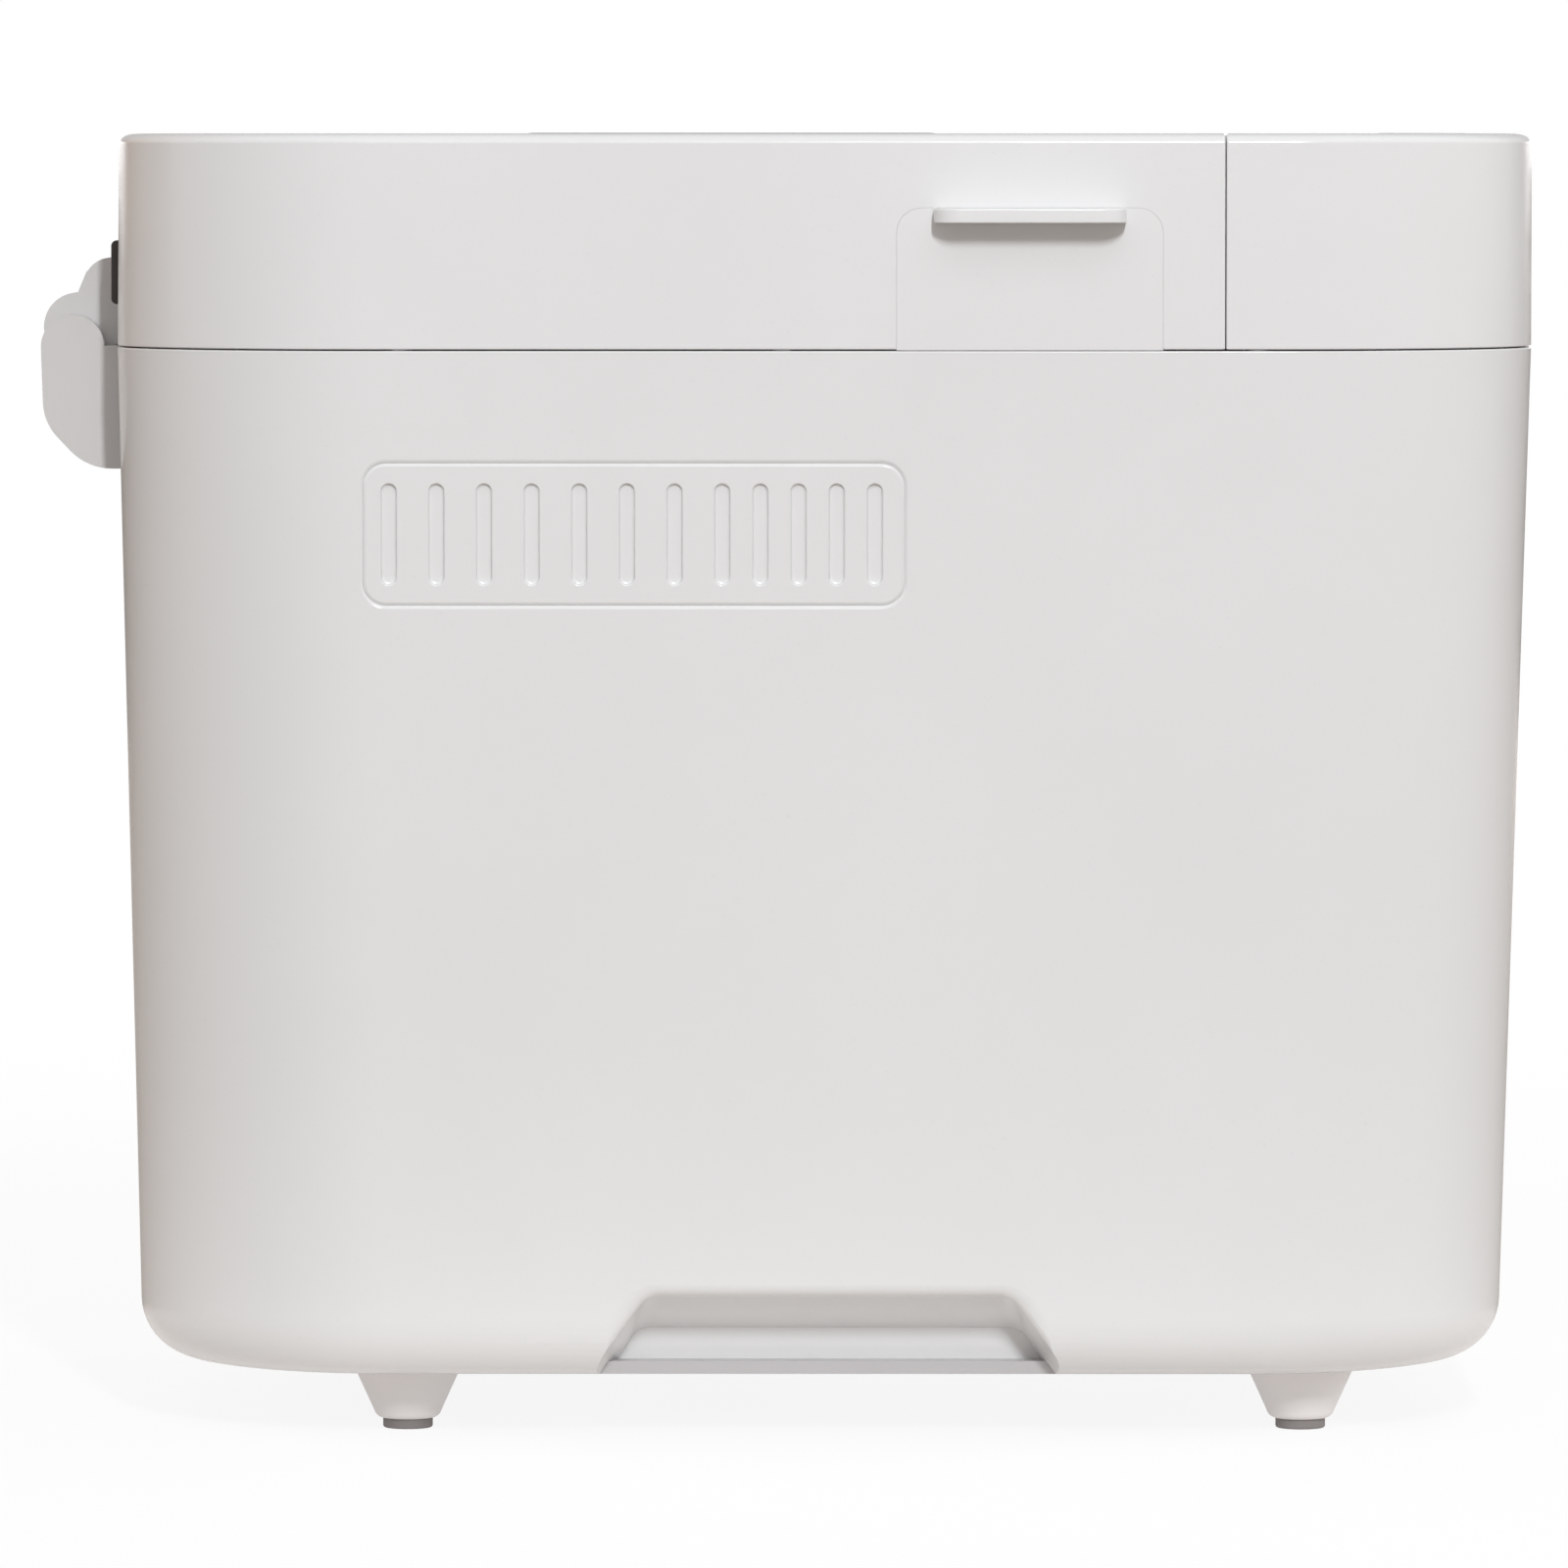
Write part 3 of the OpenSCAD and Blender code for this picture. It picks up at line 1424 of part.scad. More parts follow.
// An ear on each long side of the pan, with the stud that the bail turns on
module handle_pivots() {
    root = pan_side(pivot_z - ear_h / 2) + 0.1;
    face = pan_side(pivot_z + ear_h / 2) + 0.1 + ear_t;
    end = bail_x + bail_eye_t / 2 + fit;
    color(steel) translate([0, chamber_y, 0])
        for (side = [-1, 1])
            on_side(side) {
                translate([0, ear_w / 2, 0]) rotate([90, 0, 0]) linear_extrude(ear_w)
                    polygon([[root, pivot_z - ear_h / 2], [face, pivot_z - ear_h / 2],
                        [face, pivot_z + ear_h / 2 - 2], [face - ear_t, pivot_z + ear_h / 2 - 2]]);
                translate([0, 0, pivot_z]) {
                    rod_x(pivot_r, face - over, end + over);
                    rod_x(pivot_r + 1.4, end, end + 1.2);
                }
            }
}

// The bail lies back along the pan, its bar over the pan's rear rim
module pan_handle() {
    eye_in = bail_x - bail_eye_t / 2;
    color(steel) translate([0, chamber_y, pivot_z]) rotate([bail_tilt, 0, 0]) {
        for (side = [-1, 1])
            on_side(side) difference() {
                union() {
                    rod_x(bail_eye_r, eye_in, eye_in + bail_eye_t);
                    translate([bail_x, 0, 0]) rod_y(bail_r, bail_eye_r - 1, bail_reach - bail_bend);
                    translate([bail_x - bail_bend, bail_reach - bail_bend, 0]) bend(bail_r, bail_bend, 0);
                }
                rod_x(pivot_r + shaft_fit, eye_in - over, eye_in + bail_eye_t + over);
            }
        translate([0, bail_reach, 0]) rod_x(bail_r, bail_bend - bail_x, bail_x - bail_bend);
    }
}

module pan_shaft() {
    color(steel) translate([0, chamber_y, wing_z]) cylinder(r = pan_shaft_r, h = shaft_top - wing_z);
}

module pan_wing() {
    color("#9a9c9e") translate([0, chamber_y, wing_z]) difference() {
        union() {
            translate([-wing_l, -wing_t / 2, 0]) cube([2 * wing_l, wing_t, wing_h]);
            cylinder(r = wing_hub_r, h = wing_h);
        }
        translate([0, 0, -over]) cylinder(r = pan_shaft_r, h = wing_h + 2 * over);
    }
}

module kneading_paddle() {
    color(coated) translate([0, chamber_y, 0]) difference() {
        union() {
            translate([0, 0, paddle_z]) cylinder(r = paddle_hub_r, h = paddle_hub_h);
            hull() {
                translate([paddle_hub_r - 3, 0, blade_root])
                        cylinder(r = blade_t / 2, h = blade_h - 4, $fn = pan_fn);
                translate([blade_reach - blade_t / 2, 0, blade_z + 1])
                        cylinder(r = blade_t / 3, h = 6, $fn = pan_fn);
                translate([blade_reach - 16, 0, blade_z + 4])
                        cylinder(r = blade_t / 3, h = blade_h - 8, $fn = pan_fn);
            }
        }
        translate([0, 0, blade_z - over]) cylinder(r = pan_shaft_r + shaft_fit, h = 2 * paddle_hub_h);
    }
}

body_shell();
base_plate();
foot_pads();
case_screws();
vent_panel_left();
vent_panel_right();
top_deck();
chamber();
heating_element();
heater_clips();
temperature_sensor();
pan_dock();
bearing_housing();
shaft_bush();
chassis_plate();
motor_housing();
drive_belt();
run_capacitor();
power_board();
front_cover();
control_overlay();
display_lens();
display_module();
control_board();
key_switches();
hinge_bracket();
hinge_pin();
hinge_screws();
mains_gland();
lid_shell();
lid_window();
window_frame();
inner_window();
lid_liner();
lid_seal();
lid_grip_left();
lid_grip_right();
lid_vents();
lid_hinge_arm();
lid_screws();
pan();
pan_base_ring();
pan_bush();
handle_pivots();
pan_handle();
pan_shaft();
pan_wing();
kneading_paddle();
drive_shaft();
drive_coupler();
drive_pulley();
motor_rotor();
motor_pulley();
menu_button();
size_button();
crust_button();
time_up_button();
time_down_button();
start_button();
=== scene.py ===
"""Looks for the bread machine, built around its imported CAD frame.

The machine's front is at -Y, its photographed left side at -X, and its top at +Z.
Lengths are in millimetres, except for the camera, the lights and the floor, which are in metres.
"""

import math
import json

import bmesh
import bpy
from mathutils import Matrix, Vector


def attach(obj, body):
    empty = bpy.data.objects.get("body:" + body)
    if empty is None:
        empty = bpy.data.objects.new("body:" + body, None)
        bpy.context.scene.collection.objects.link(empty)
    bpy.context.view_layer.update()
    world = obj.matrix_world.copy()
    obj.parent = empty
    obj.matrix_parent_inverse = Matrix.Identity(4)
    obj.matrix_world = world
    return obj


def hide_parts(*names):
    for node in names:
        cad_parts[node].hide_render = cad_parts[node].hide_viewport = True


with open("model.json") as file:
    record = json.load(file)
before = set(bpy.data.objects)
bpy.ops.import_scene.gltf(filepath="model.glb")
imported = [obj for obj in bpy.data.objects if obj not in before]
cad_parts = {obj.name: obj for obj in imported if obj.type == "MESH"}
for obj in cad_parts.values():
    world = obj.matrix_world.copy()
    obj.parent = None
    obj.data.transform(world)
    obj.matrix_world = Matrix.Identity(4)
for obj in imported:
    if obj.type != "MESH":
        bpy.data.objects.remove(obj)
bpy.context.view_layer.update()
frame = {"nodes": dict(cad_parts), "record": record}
nodes = frame["nodes"]
MM = 0.001

# ---------------------------------------------------------------- overall sizes

CASE_W, CASE_L, CASE_H = 228.0, 342.0, 312.0
CASE_Y = -10.025                     # middle of the case
FRONT_Y, REAR_Y = CASE_Y - CASE_L / 2, CASE_Y + CASE_L / 2
BASE_Z = 15.3                        # foot of the case
SEAM_LOW, SEAM_HIGH = 260.5, 260.85  # top of the body, foot of the lid
SPLIT_Y, SPLIT_GAP = -105.125, 0.24  # between the lid and the control housing
CORNER_R = 62.0                      # upright corners of the case
BOTTOM_ROUND = 14.0                  # rolled lower edge of the case
LID_ROUND, LID_ROUND_IN = 2.4, 4.0   # top edge: down the wall, and in over the top
EDGE_R = 0.35                        # breaks the edges along the seam
WALL = 2.6
# How much each wall of the body leans in, for each millimetre down from the seam
SIDE_DRAFT, FRONT_DRAFT, REAR_DRAFT = 0.02, 0.029, 0.021
LID_LEAN = 0.01                      # how much the lid's back leans in, going up
OVER = 1.0                           # how far most cutters reach past what they cut


# ---------------------------------------------------------------- shader trees

class Tree:
    """Short ways to add nodes to a shader tree."""

    def __init__(self, tree):
        self.tree = tree

    def feed(self, value, socket):
        """Links an output to the socket, or sets the socket to a number, a vector or a colour."""
        if isinstance(value, bpy.types.NodeSocket):
            self.tree.links.new(value, socket)
        elif socket.type == "RGBA":
            socket.default_value = (*value, 1)
        else:
            socket.default_value = value

    def node(self, kind, **values):
        """Adds a node. Each value goes to the input of that name, with _ for a space."""
        node = self.tree.nodes.new(kind)
        for name, value in values.items():
            self.feed(value, node.inputs[name.replace("_", " ")])
        return node

    def operate(self, kind, how, values):
        node = self.tree.nodes.new(kind)
        node.operation = how
        for value, socket in zip(values, node.inputs):
            self.feed(value, socket)
        return node

    def math(self, how, *values):
        return self.operate("ShaderNodeMath", how, values).outputs["Value"]

    def measure(self, how, *vectors):
        """A number taken from vectors, such as a dot product or a length."""
        return self.operate("ShaderNodeVectorMath", how, vectors).outputs["Value"]

    def span(self, value, low, high, start=0.0, end=1.0):
        """Goes in a straight line from low, where the value is start, to high, where it is end."""
        return self.node("ShaderNodeMapRange", Value=value, From_Min=start, From_Max=end,
                         To_Min=low, To_Max=high).outputs["Result"]

    def step(self, value, start, end):
        """Rises smoothly from 0, where the value is start, to 1, where it is end."""
        node = self.node("ShaderNodeMapRange", Value=value, From_Min=start, From_Max=end)
        node.interpolation_type = "SMOOTHSTEP"
        return node.outputs["Result"]

    def mix(self, share, a, b):
        """Colour a where the share is 0, and colour b where it is 1."""
        node = self.tree.nodes.new("ShaderNodeMix")
        node.data_type = "RGBA"
        for value, index in ((share, 0), (a, 6), (b, 7)):
            self.feed(value, node.inputs[index])
        return node.outputs[2]

    def blend(self, share, a, b):
        """Shader a where the share is 0, and shader b where it is 1."""
        node = self.tree.nodes.new("ShaderNodeMixShader")
        for value, socket in zip((share, a, b), node.inputs):
            self.feed(value, socket)
        return node.outputs["Shader"]


def tone(colour, factor):
    return tuple(c * factor for c in colour)


class Surface(Tree):
    """A material's tree round its Principled shader, filled in step by step."""

    def __init__(self, name, **values):
        self.material = bpy.data.materials.new(name)
        self.material.use_nodes = True
        super().__init__(self.material.node_tree)
        self.bsdf = self.tree.nodes["Principled BSDF"]
        self.coords = self.node("ShaderNodeTexCoord").outputs["Object"]
        for key, value in values.items():
            self.bsdf.inputs[key.replace("_", " ")].default_value = value

    def place(self, stretch=(1, 1, 1)):
        return self.node("ShaderNodeMapping", Vector=self.coords, Scale=stretch).outputs["Vector"]

    def noise(self, scale, detail=3.0, rough=0.55, stretch=(1, 1, 1)):
        """Noise with about scale spots to the metre."""
        return self.node("ShaderNodeTexNoise", Vector=self.place(stretch), Scale=scale,
                         Detail=detail, Roughness=rough).outputs["Fac"]

    def ramp(self, share, stops):
        node = self.node("ShaderNodeValToRGB", Fac=share)
        ends = node.color_ramp.elements
        while len(ends) < len(stops):
            ends.new(0.5)
        for end, (at, colour) in zip(ends, stops):
            end.position = at
            end.color = (*colour, 1)
        return node.outputs["Color"]

    def tones(self, pattern, colour, dark, light, start=0.3, end=0.7):
        """From dark times the colour to light times the colour, over the pattern."""
        return self.ramp(pattern, [(start, tone(colour, dark)), (end, tone(colour, light))])

    def base(self, colour):
        self.feed(colour, self.bsdf.inputs["Base Color"])

    def rough(self, pattern, low, high, start=0.3, end=0.7):
        self.feed(self.span(pattern, low, high, start, end), self.bsdf.inputs["Roughness"])

    def bump(self, height, depth_mm, strength):
        """Adds a bump on top of those already there."""
        node = self.node("ShaderNodeBump", Height=height, Distance=depth_mm * MM,
                         Strength=strength)
        normal = self.bsdf.inputs["Normal"]
        if normal.is_linked:
            self.feed(normal.links[0].from_socket, node.inputs["Normal"])
        self.feed(node.outputs["Normal"], normal)


# ---------------------------------------------------------------- materials

def moulded(name, colour, rough, grain_mm, depth_mm, mottle=0.015):
    """Moulded plastic or rubber: a faint mottle, an uneven gloss and a fine surface grain."""
    s = Surface(name, IOR=1.49)
    s.base(s.tones(s.noise(14, 4), colour, 1 - mottle, 1 + mottle))
    s.rough(s.noise(60, 4), rough * 0.85, rough * 1.2)
    s.bump(s.noise(1 / (grain_mm * MM), 2), depth_mm, 0.5)
    return s.material


def base_white():
    """The base plate's satin plastic, with painted shade: the flange inside the case is coloured
    greyer than the legs, for the shade that falls there.
    """
    # Painted shade: the flange's colour is darker than the legs' to stand in for the shade inside
    # the case
    legs, flange_painted_shade = (0.84, 0.815, 0.81), (0.50, 0.485, 0.49)
    s = Surface("white_satin_base_painted_shade", IOR=1.49)
    place = s.node("ShaderNodeSeparateXYZ", Vector=s.coords)
    # Painted shade: above the case's foot the colour turns to the darker flange tone
    up = s.span(place.outputs["Z"], 0.0, 1.0, (BASE_Z - 0.5) * MM, BASE_Z * MM)
    mottle = s.noise(14, 4)
    s.base(s.mix(up, *(s.tones(mottle, colour, 0.985, 1.015) for colour in (legs, flange_painted_shade))))
    s.rough(s.noise(60, 4), 0.31, 0.43)
    s.bump(s.noise(2000, 2), 0.03, 0.5)
    return s.material


def gloss_white():
    """Glossy moulded plastic: faint clouds, tiny specks, and an orange-peel surface."""
    colour = (0.795, 0.790, 0.787)
    s = Surface("white_gloss_plastic", IOR=1.50)
    cloud = s.tones(s.noise(9, 3), colour, 0.985, 1.01, 0.32, 0.68)
    speck = s.span(s.noise(900, 2, 0.7), 0.0, 1.0, 0.66, 0.74)
    s.base(s.mix(speck, cloud, tone(colour, 0.965)))
    s.rough(s.noise(45, 5), 0.13, 0.22)
    s.bump(s.noise(260, 1.5), 0.04, 0.35)
    s.bump(s.noise(1500, 2), 0.01, 0.3)
    return s.material


def metal(name, colour, rough, stretch, depth_mm=0.03, scale=90):
    """Bare metal: grainy, or brushed across the axis that has the larger scale."""
    s = Surface(name, Metallic=1.0)
    lines = s.noise(scale, 5, 0.6, stretch)
    s.base(s.tones(lines, colour, 0.82, 1.08, 0.25, 0.75))
    s.rough(s.noise(scale * 1.3, 4, 0.6, stretch), rough * 0.75, rough * 1.3, 0.25, 0.75)
    s.bump(lines, depth_mm, 0.4)
    return s.material


def coated_pan():
    """Speckled non-stick coating."""
    s = Surface("nonstick_coating", Metallic=0.25)
    speck = s.span(s.noise(1600, 2, 0.8), 0.0, 1.0, 0.60, 0.66)
    cloud = s.ramp(s.noise(25, 4), [(0.3, (0.055, 0.052, 0.050)), (0.7, (0.080, 0.076, 0.073))])
    s.base(s.mix(speck, cloud, (0.17, 0.16, 0.155)))
    s.rough(s.noise(300, 3), 0.30, 0.46)
    s.bump(s.noise(700, 3), 0.06, 0.4)
    return s.material


def heater():
    """Heater sheath, tarnished by use."""
    s = Surface("heater_sheath", Metallic=0.8)
    s.base(s.ramp(s.noise(45, 5), [(0.3, (0.05, 0.047, 0.045)), (0.55, (0.11, 0.10, 0.095)),
                                   (0.75, (0.17, 0.13, 0.11))]))
    s.rough(s.noise(200, 3), 0.38, 0.6)
    s.bump(s.noise(500, 3), 0.05, 0.5)
    return s.material


def glass(name, colour):
    s = Surface(name, IOR=1.5, Transmission_Weight=1.0)
    s.base(s.tones(s.noise(12, 3), colour, 0.97, 1.03))
    s.rough(s.noise(60, 3), 0.018, 0.045)
    s.bump(s.noise(30, 2), 0.03, 0.2)
    return s.material


def board(name, colour):
    """Circuit board with a grid of paler tracks."""
    s = Surface(name, IOR=1.5)
    tracks = s.node("ShaderNodeTexBrick", Vector=s.place(), Scale=160, Color1=tone(colour, 0.8),
                    Color2=tone(colour, 1.1), Mortar=tone(colour, 1.6), Mortar_Size=0.03)
    s.base(tracks.outputs["Color"])
    s.rough(s.noise(300), 0.3, 0.45)
    s.bump(s.noise(900), 0.03, 0.4)
    return s.material


EVEN, BRUSHED, ROLLED, DRAWN = (1, 1, 1), (1, 1, 14), (1, 1, 12), (1, 1, 20)

# By the record's slot, and base_satin for the base plate
MATERIALS = {
    "white_gloss": gloss_white(),
    "white_satin": moulded("white_satin_plastic", (0.64, 0.625, 0.618), 0.34, 0.5, 0.03),
    "base_satin": base_white(),
    "window_tint": glass("tinted_window", (0.33, 0.31, 0.30)),
    "clear_pane": glass("clear_pane", (0.90, 0.94, 0.93)),
    "display_glass": glass("display_cover", (0.80, 0.86, 0.82)),
    "dark_plastic": moulded("dark_plastic", (0.036, 0.030, 0.027), 0.45, 0.5, 0.05, 0.08),
    "pad_rubber": moulded("pad_rubber", (0.235, 0.215, 0.212), 0.7, 0.4, 0.08, 0.06),
    "seal_silicone": moulded("seal_silicone", (0.42, 0.41, 0.40), 0.55, 0.6, 0.05, 0.04),
    "sheet_steel": metal("sheet_steel", (0.62, 0.63, 0.64), 0.34, BRUSHED),
    "screw_steel": metal("screw_steel", (0.58, 0.59, 0.61), 0.30, EVEN, 0.02, 600),
    "shaft_steel": metal("shaft_steel", (0.63, 0.64, 0.66), 0.24, DRAWN),
    "pan_coating": coated_pan(),
    "cast_metal": metal("cast_metal", (0.48, 0.49, 0.50), 0.50, EVEN, 0.08, 500),
    "heater_sheath": heater(),
    "bronze": metal("sintered_bronze", (0.52, 0.36, 0.17), 0.42, EVEN, 0.04, 900),
    "acetal": moulded("acetal", (0.74, 0.73, 0.70), 0.38, 0.4, 0.03),
    "belt_rubber": moulded("belt_rubber", (0.028, 0.028, 0.028), 0.65, 0.4, 0.06, 0.1),
    "board_green": board("circuit_board", (0.05, 0.20, 0.11)),
    "lcd_grey": moulded("liquid_crystal", (0.34, 0.40, 0.34), 0.25, 0.8, 0.01),
    "capacitor_can": metal("capacitor_can", (0.66, 0.67, 0.69), 0.28, ROLLED),
}


def dress(obj, slot):
    """Gives an object that slot's material."""
    obj.data.materials.clear()
    obj.data.materials.append(MATERIALS[slot])


# ---------------------------------------------------------------- carried-over CAD nodes

def smooth(mesh, degrees):
    """Smooth shading, with crisp edges where faces meet at more than so many degrees."""
    for face in mesh.polygons:
        face.use_smooth = True
    mesh.set_sharp_from_angle(angle=math.radians(degrees))


def ease_edges(obj, width):
    """A small rounding on the sharp edges."""
    bevel = obj.modifiers.new("edges", "BEVEL")
    bevel.width = width * MM
    bevel.segments = 3
    bevel.limit_method = "ANGLE"
    bevel.angle_limit = math.radians(38)
    bevel.harden_normals = True


CAD_SHARP = 32
slots = {part["node"]: part["material_slot"] for part in frame["record"]["subparts"]}
for name, obj in nodes.items():
    dress(obj, "base_satin" if name == "base_plate" else slots[name])
    smooth(obj.data, CAD_SHARP)
for name in ("hinge_bracket", "lid_hinge_arm"):
    ease_edges(nodes[name], 0.5)


# ---------------------------------------------------------------- meshes

def quarter(steps, start=0, end=90):
    return [math.radians(start + (end - start) * i / steps) for i in range(steps + 1)]


def plan(half_w, front, rear, r_front, r_rear, steps=24):
    """Rounded rectangle seen from above, anticlockwise from its front left corner."""
    points = []
    for sx, y, sy, r, start in ((-1, front, 1, r_front, 180), (1, front, 1, r_front, 270),
                                (1, rear, -1, r_rear, 0), (-1, rear, -1, r_rear, 90)):
        for a in quarter(steps, start, start + 90):
            points.append((sx * (half_w - r) + r * math.cos(a), y + sy * r + r * math.sin(a)))
    return points


def rounded_box(w, l, r, steps=8, centre=(0, 0)):
    return [(x + centre[0], y + centre[1]) for x, y in plan(w / 2, -l / 2, l / 2, r, r, steps)]


def grown(w, l, r, grow, steps=8):
    return rounded_box(w + 2 * grow, l + 2 * grow, max(r + grow, 0.01), steps)


def at_z(points, z):
    return [(x, y, z) for x, y in points]


def lofts(name, solids):
    """One object of closed solids, each through rings of as many points, capped at its ends."""
    bm = bmesh.new()
    for rings in solids:
        made = [[bm.verts.new((x * MM, y * MM, z * MM)) for x, y, z in ring] for ring in rings]
        for low, high in zip(made, made[1:]):
            n = len(low)
            for i in range(n):
                j = (i + 1) % n
                bm.faces.new((low[i], low[j], high[j], high[i]))
        bm.faces.new(list(reversed(made[0])))
        bm.faces.new(made[-1])
    bmesh.ops.recalc_face_normals(bm, faces=bm.faces)
    mesh = bpy.data.meshes.new(name)
    bm.to_mesh(mesh)
    bm.free()
    obj = bpy.data.objects.new(name, mesh)
    bpy.context.scene.collection.objects.link(obj)
    return obj


def loft(name, rings):
    return lofts(name, [rings])


def cutter(rings):
    return lofts("tool", [rings])


def upright(outline, low, high):
    """Rings of an outline seen from above, extruded from low to high."""
    return [at_z(outline, low), at_z(outline, high)]


def rod(axis, r, start, end, at, steps=32):
    """A straight round bar along y or z, for cutting."""
    rings = []
    for along in (start, end):
        circle = [(at[0] + r * math.cos(a), at[1] + r * math.sin(a))
                  for a in (2 * math.pi * i / steps for i in range(steps))]
        rings.append([(u, along, v) if axis == "y" else (u, v, along) for u, v in circle])
    return cutter(rings)


def bake(obj):
    """Turns what the modifiers make into the object's own mesh."""
    bpy.context.view_layer.update()
    graph = bpy.context.evaluated_depsgraph_get()
    mesh = bpy.data.meshes.new_from_object(obj.evaluated_get(graph))
    old = obj.data
    obj.modifiers.clear()
    obj.data = mesh
    bpy.data.meshes.remove(old)


def combine(obj, tools, how="DIFFERENCE"):
    """Cuts the tools out of obj, or adds them to it, and removes them."""
    for tool in tools:
        boolean = obj.modifiers.new("combine", "BOOLEAN")
        boolean.operation = how
        boolean.solver = "EXACT"
        boolean.object = tool
    bake(obj)
    for tool in tools:
        bpy.data.objects.remove(tool)
    return obj


SAME_POINT, NO_LENGTH = 2e-6, 1e-6   # metres: points and edges that a cut leaves too close


def finish_piece(obj, slot, body, degrees=28, stands_for=()):
    """Cleans and shades the mesh, and gives it its material and the body that it moves with."""
    mesh = obj.data
    mesh.name = obj.name
    bm = bmesh.new()
    bm.from_mesh(mesh)
    bmesh.ops.remove_doubles(bm, verts=bm.verts, dist=SAME_POINT)
    bmesh.ops.dissolve_degenerate(bm, edges=bm.edges, dist=NO_LENGTH)
    bm.to_mesh(mesh)
    bm.free()
    smooth(mesh, degrees)
    normals = obj.modifiers.new("normals", "WEIGHTED_NORMAL")
    normals.keep_sharp = True
    normals.weight = 60
    dress(obj, slot)
    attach(obj, body)
    if stands_for:
        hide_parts(*stands_for)


def side_x(z):
    """How far out the body's side wall is at a height."""
    return CASE_W / 2 - SIDE_DRAFT * (SEAM_LOW - z)


class Wall:
    """Places (across, up, depth) on one side wall. Depth is measured inwards."""

    def __init__(self, side, y, z, tilt=SIDE_DRAFT, x=None):
        self.side, self.y, self.z = side, y, z
        norm = math.hypot(1, tilt)
        self.up = (tilt / norm, 1 / norm)
        self.out = (1 / norm, -tilt / norm)
        self.x = side_x(z) if x is None else x

    def __call__(self, points, depth):
        return [(self.side * (self.x + v * self.up[0] - depth * self.out[0]), self.y + u,
                 self.z + v * self.up[1] - depth * self.out[1]) for u, v in points]


def lip_rings(r, steps=6, last=80, past=1.0):
    """(How far the outline grows, depth) up a rounded lip, and on past the surface."""
    rings = [(r * (1 - math.cos(a)), r * (1 - math.sin(a))) for a in quarter(steps, 0, last)]
    grow, depth = rings[-1]
    rings.append((grow + (depth + past) * math.tan(math.radians(last)), -past))
    return rings


def foot_rings(ring, z, r, steps):
    """Rings up a rounded lower edge."""
    return [ring(z + r * (1 - math.cos(a)), r * (1 - math.sin(a))) for a in quarter(steps)]


def top_rings(ring, z, r, steps):
    """Rings up a rounded upper edge."""
    return [ring(z - r * (1 - math.sin(a)), r * (1 - math.cos(a))) for a in quarter(steps)]


# ---------------------------------------------------------------- case

def case_plan(z, inset, steps=24):
    """Outline of the body at a height, moved in by the inset."""
    drop = SEAM_LOW - z
    return plan(side_x(z) - inset, FRONT_Y + FRONT_DRAFT * drop + inset,
                REAR_Y - REAR_DRAFT * drop - inset, CORNER_R - inset, CORNER_R - inset, steps)


def case_ring(z, inset, steps=24):
    return at_z(case_plan(z, inset, steps), z)


BASE_INSET, BASE_SEAT = 12.6, 3.1    # the base plate's opening: in from the wall, and its depth
GLAND_X, GLAND_Z, GLAND_HOLE_R = 62, 45.3, 7.55

GRIP_Y = CASE_Y - 1.2                # middle of the carrying grips
GRIP_LIP = 3.2                       # rounding round the mouth
GRIP_WALL = 2.0
GRIP_BACK_X, GRIP_FRONT_X = 90.3, 108.3
# Side views of a grip, as half its width at the case's foot and at its top, its top and its
# corner radius: at the mouth, at the back, and the casing round it just inside the body's wall
GRIP_MOUTH = (58.0, 43.2, 35.0, 6.5)
GRIP_BACK = (52.5, 46, BASE_Z + 10.6, 6)
GRIP_CASING = (58.6, 44, BASE_Z + 22.3, 8)


def grip_outline(half_low, half_high, top, r, grow=0.0):
    """Side view of a grip as (along, height), from its lower rear corner over the top."""
    below, steps = 4.0, 8            # how far it reaches below the case, and steps in a corner
    slope = (half_low - half_high) / (top - BASE_Z)
    tilt = math.atan2(top - BASE_Z, half_low - half_high)
    reach = r * math.tan(tilt / 2)
    sweep = [math.degrees(tilt) * i / steps for i in range(steps + 1)]
    foot = half_low + grow + slope * below
    points = [(-foot, BASE_Z - below)]
    for sx in (-1, 1):
        cx, cz = sx * (half_high + grow) - sx * reach, top + grow - r
        for turn in (reversed(sweep) if sx < 0 else sweep):
            a = math.radians(90 - turn)
            points.append((cx + sx * r * math.cos(a), cz + r * math.sin(a)))
    points.append((foot, BASE_Z - below))
    return points


def grip_ring(side, outline, x=None, depth=0.0):
    """The outline at one x, or at a depth into the leaning side wall."""
    return [(side * (side_x(z) - depth if x is None else x), GRIP_Y + u, z) for u, z in outline]


def grip_hollow(side):
    rings = [grip_ring(side, grip_outline(*GRIP_BACK), GRIP_BACK_X)]
    *sizes, r = GRIP_MOUTH
    for grow, depth in lip_rings(GRIP_LIP, 8):
        rings.append(grip_ring(side, grip_outline(*sizes, r + grow, grow), depth=depth))
    return cutter(rings)


def grip_casing(side):
    """The room that a grip and its own wall take up inside the body."""
    back, front = ([size + GRIP_WALL for size in grip[:3]] + [grip[3]]
                   for grip in (GRIP_BACK, GRIP_CASING))
    past_wall = 127.0
    return cutter([grip_ring(side, grip_outline(*back), GRIP_BACK_X - GRIP_WALL),
                   grip_ring(side, grip_outline(*front), GRIP_FRONT_X),
                   grip_ring(side, grip_outline(*front), past_wall)])


VENT_Y, VENT_Z = CASE_Y + 45.2, 217.0
VENT_L, VENT_H, VENT_R = 128.6, 33.8, 5.5
VENT_DEPTH, VENT_GAP = 1.4, 0.05
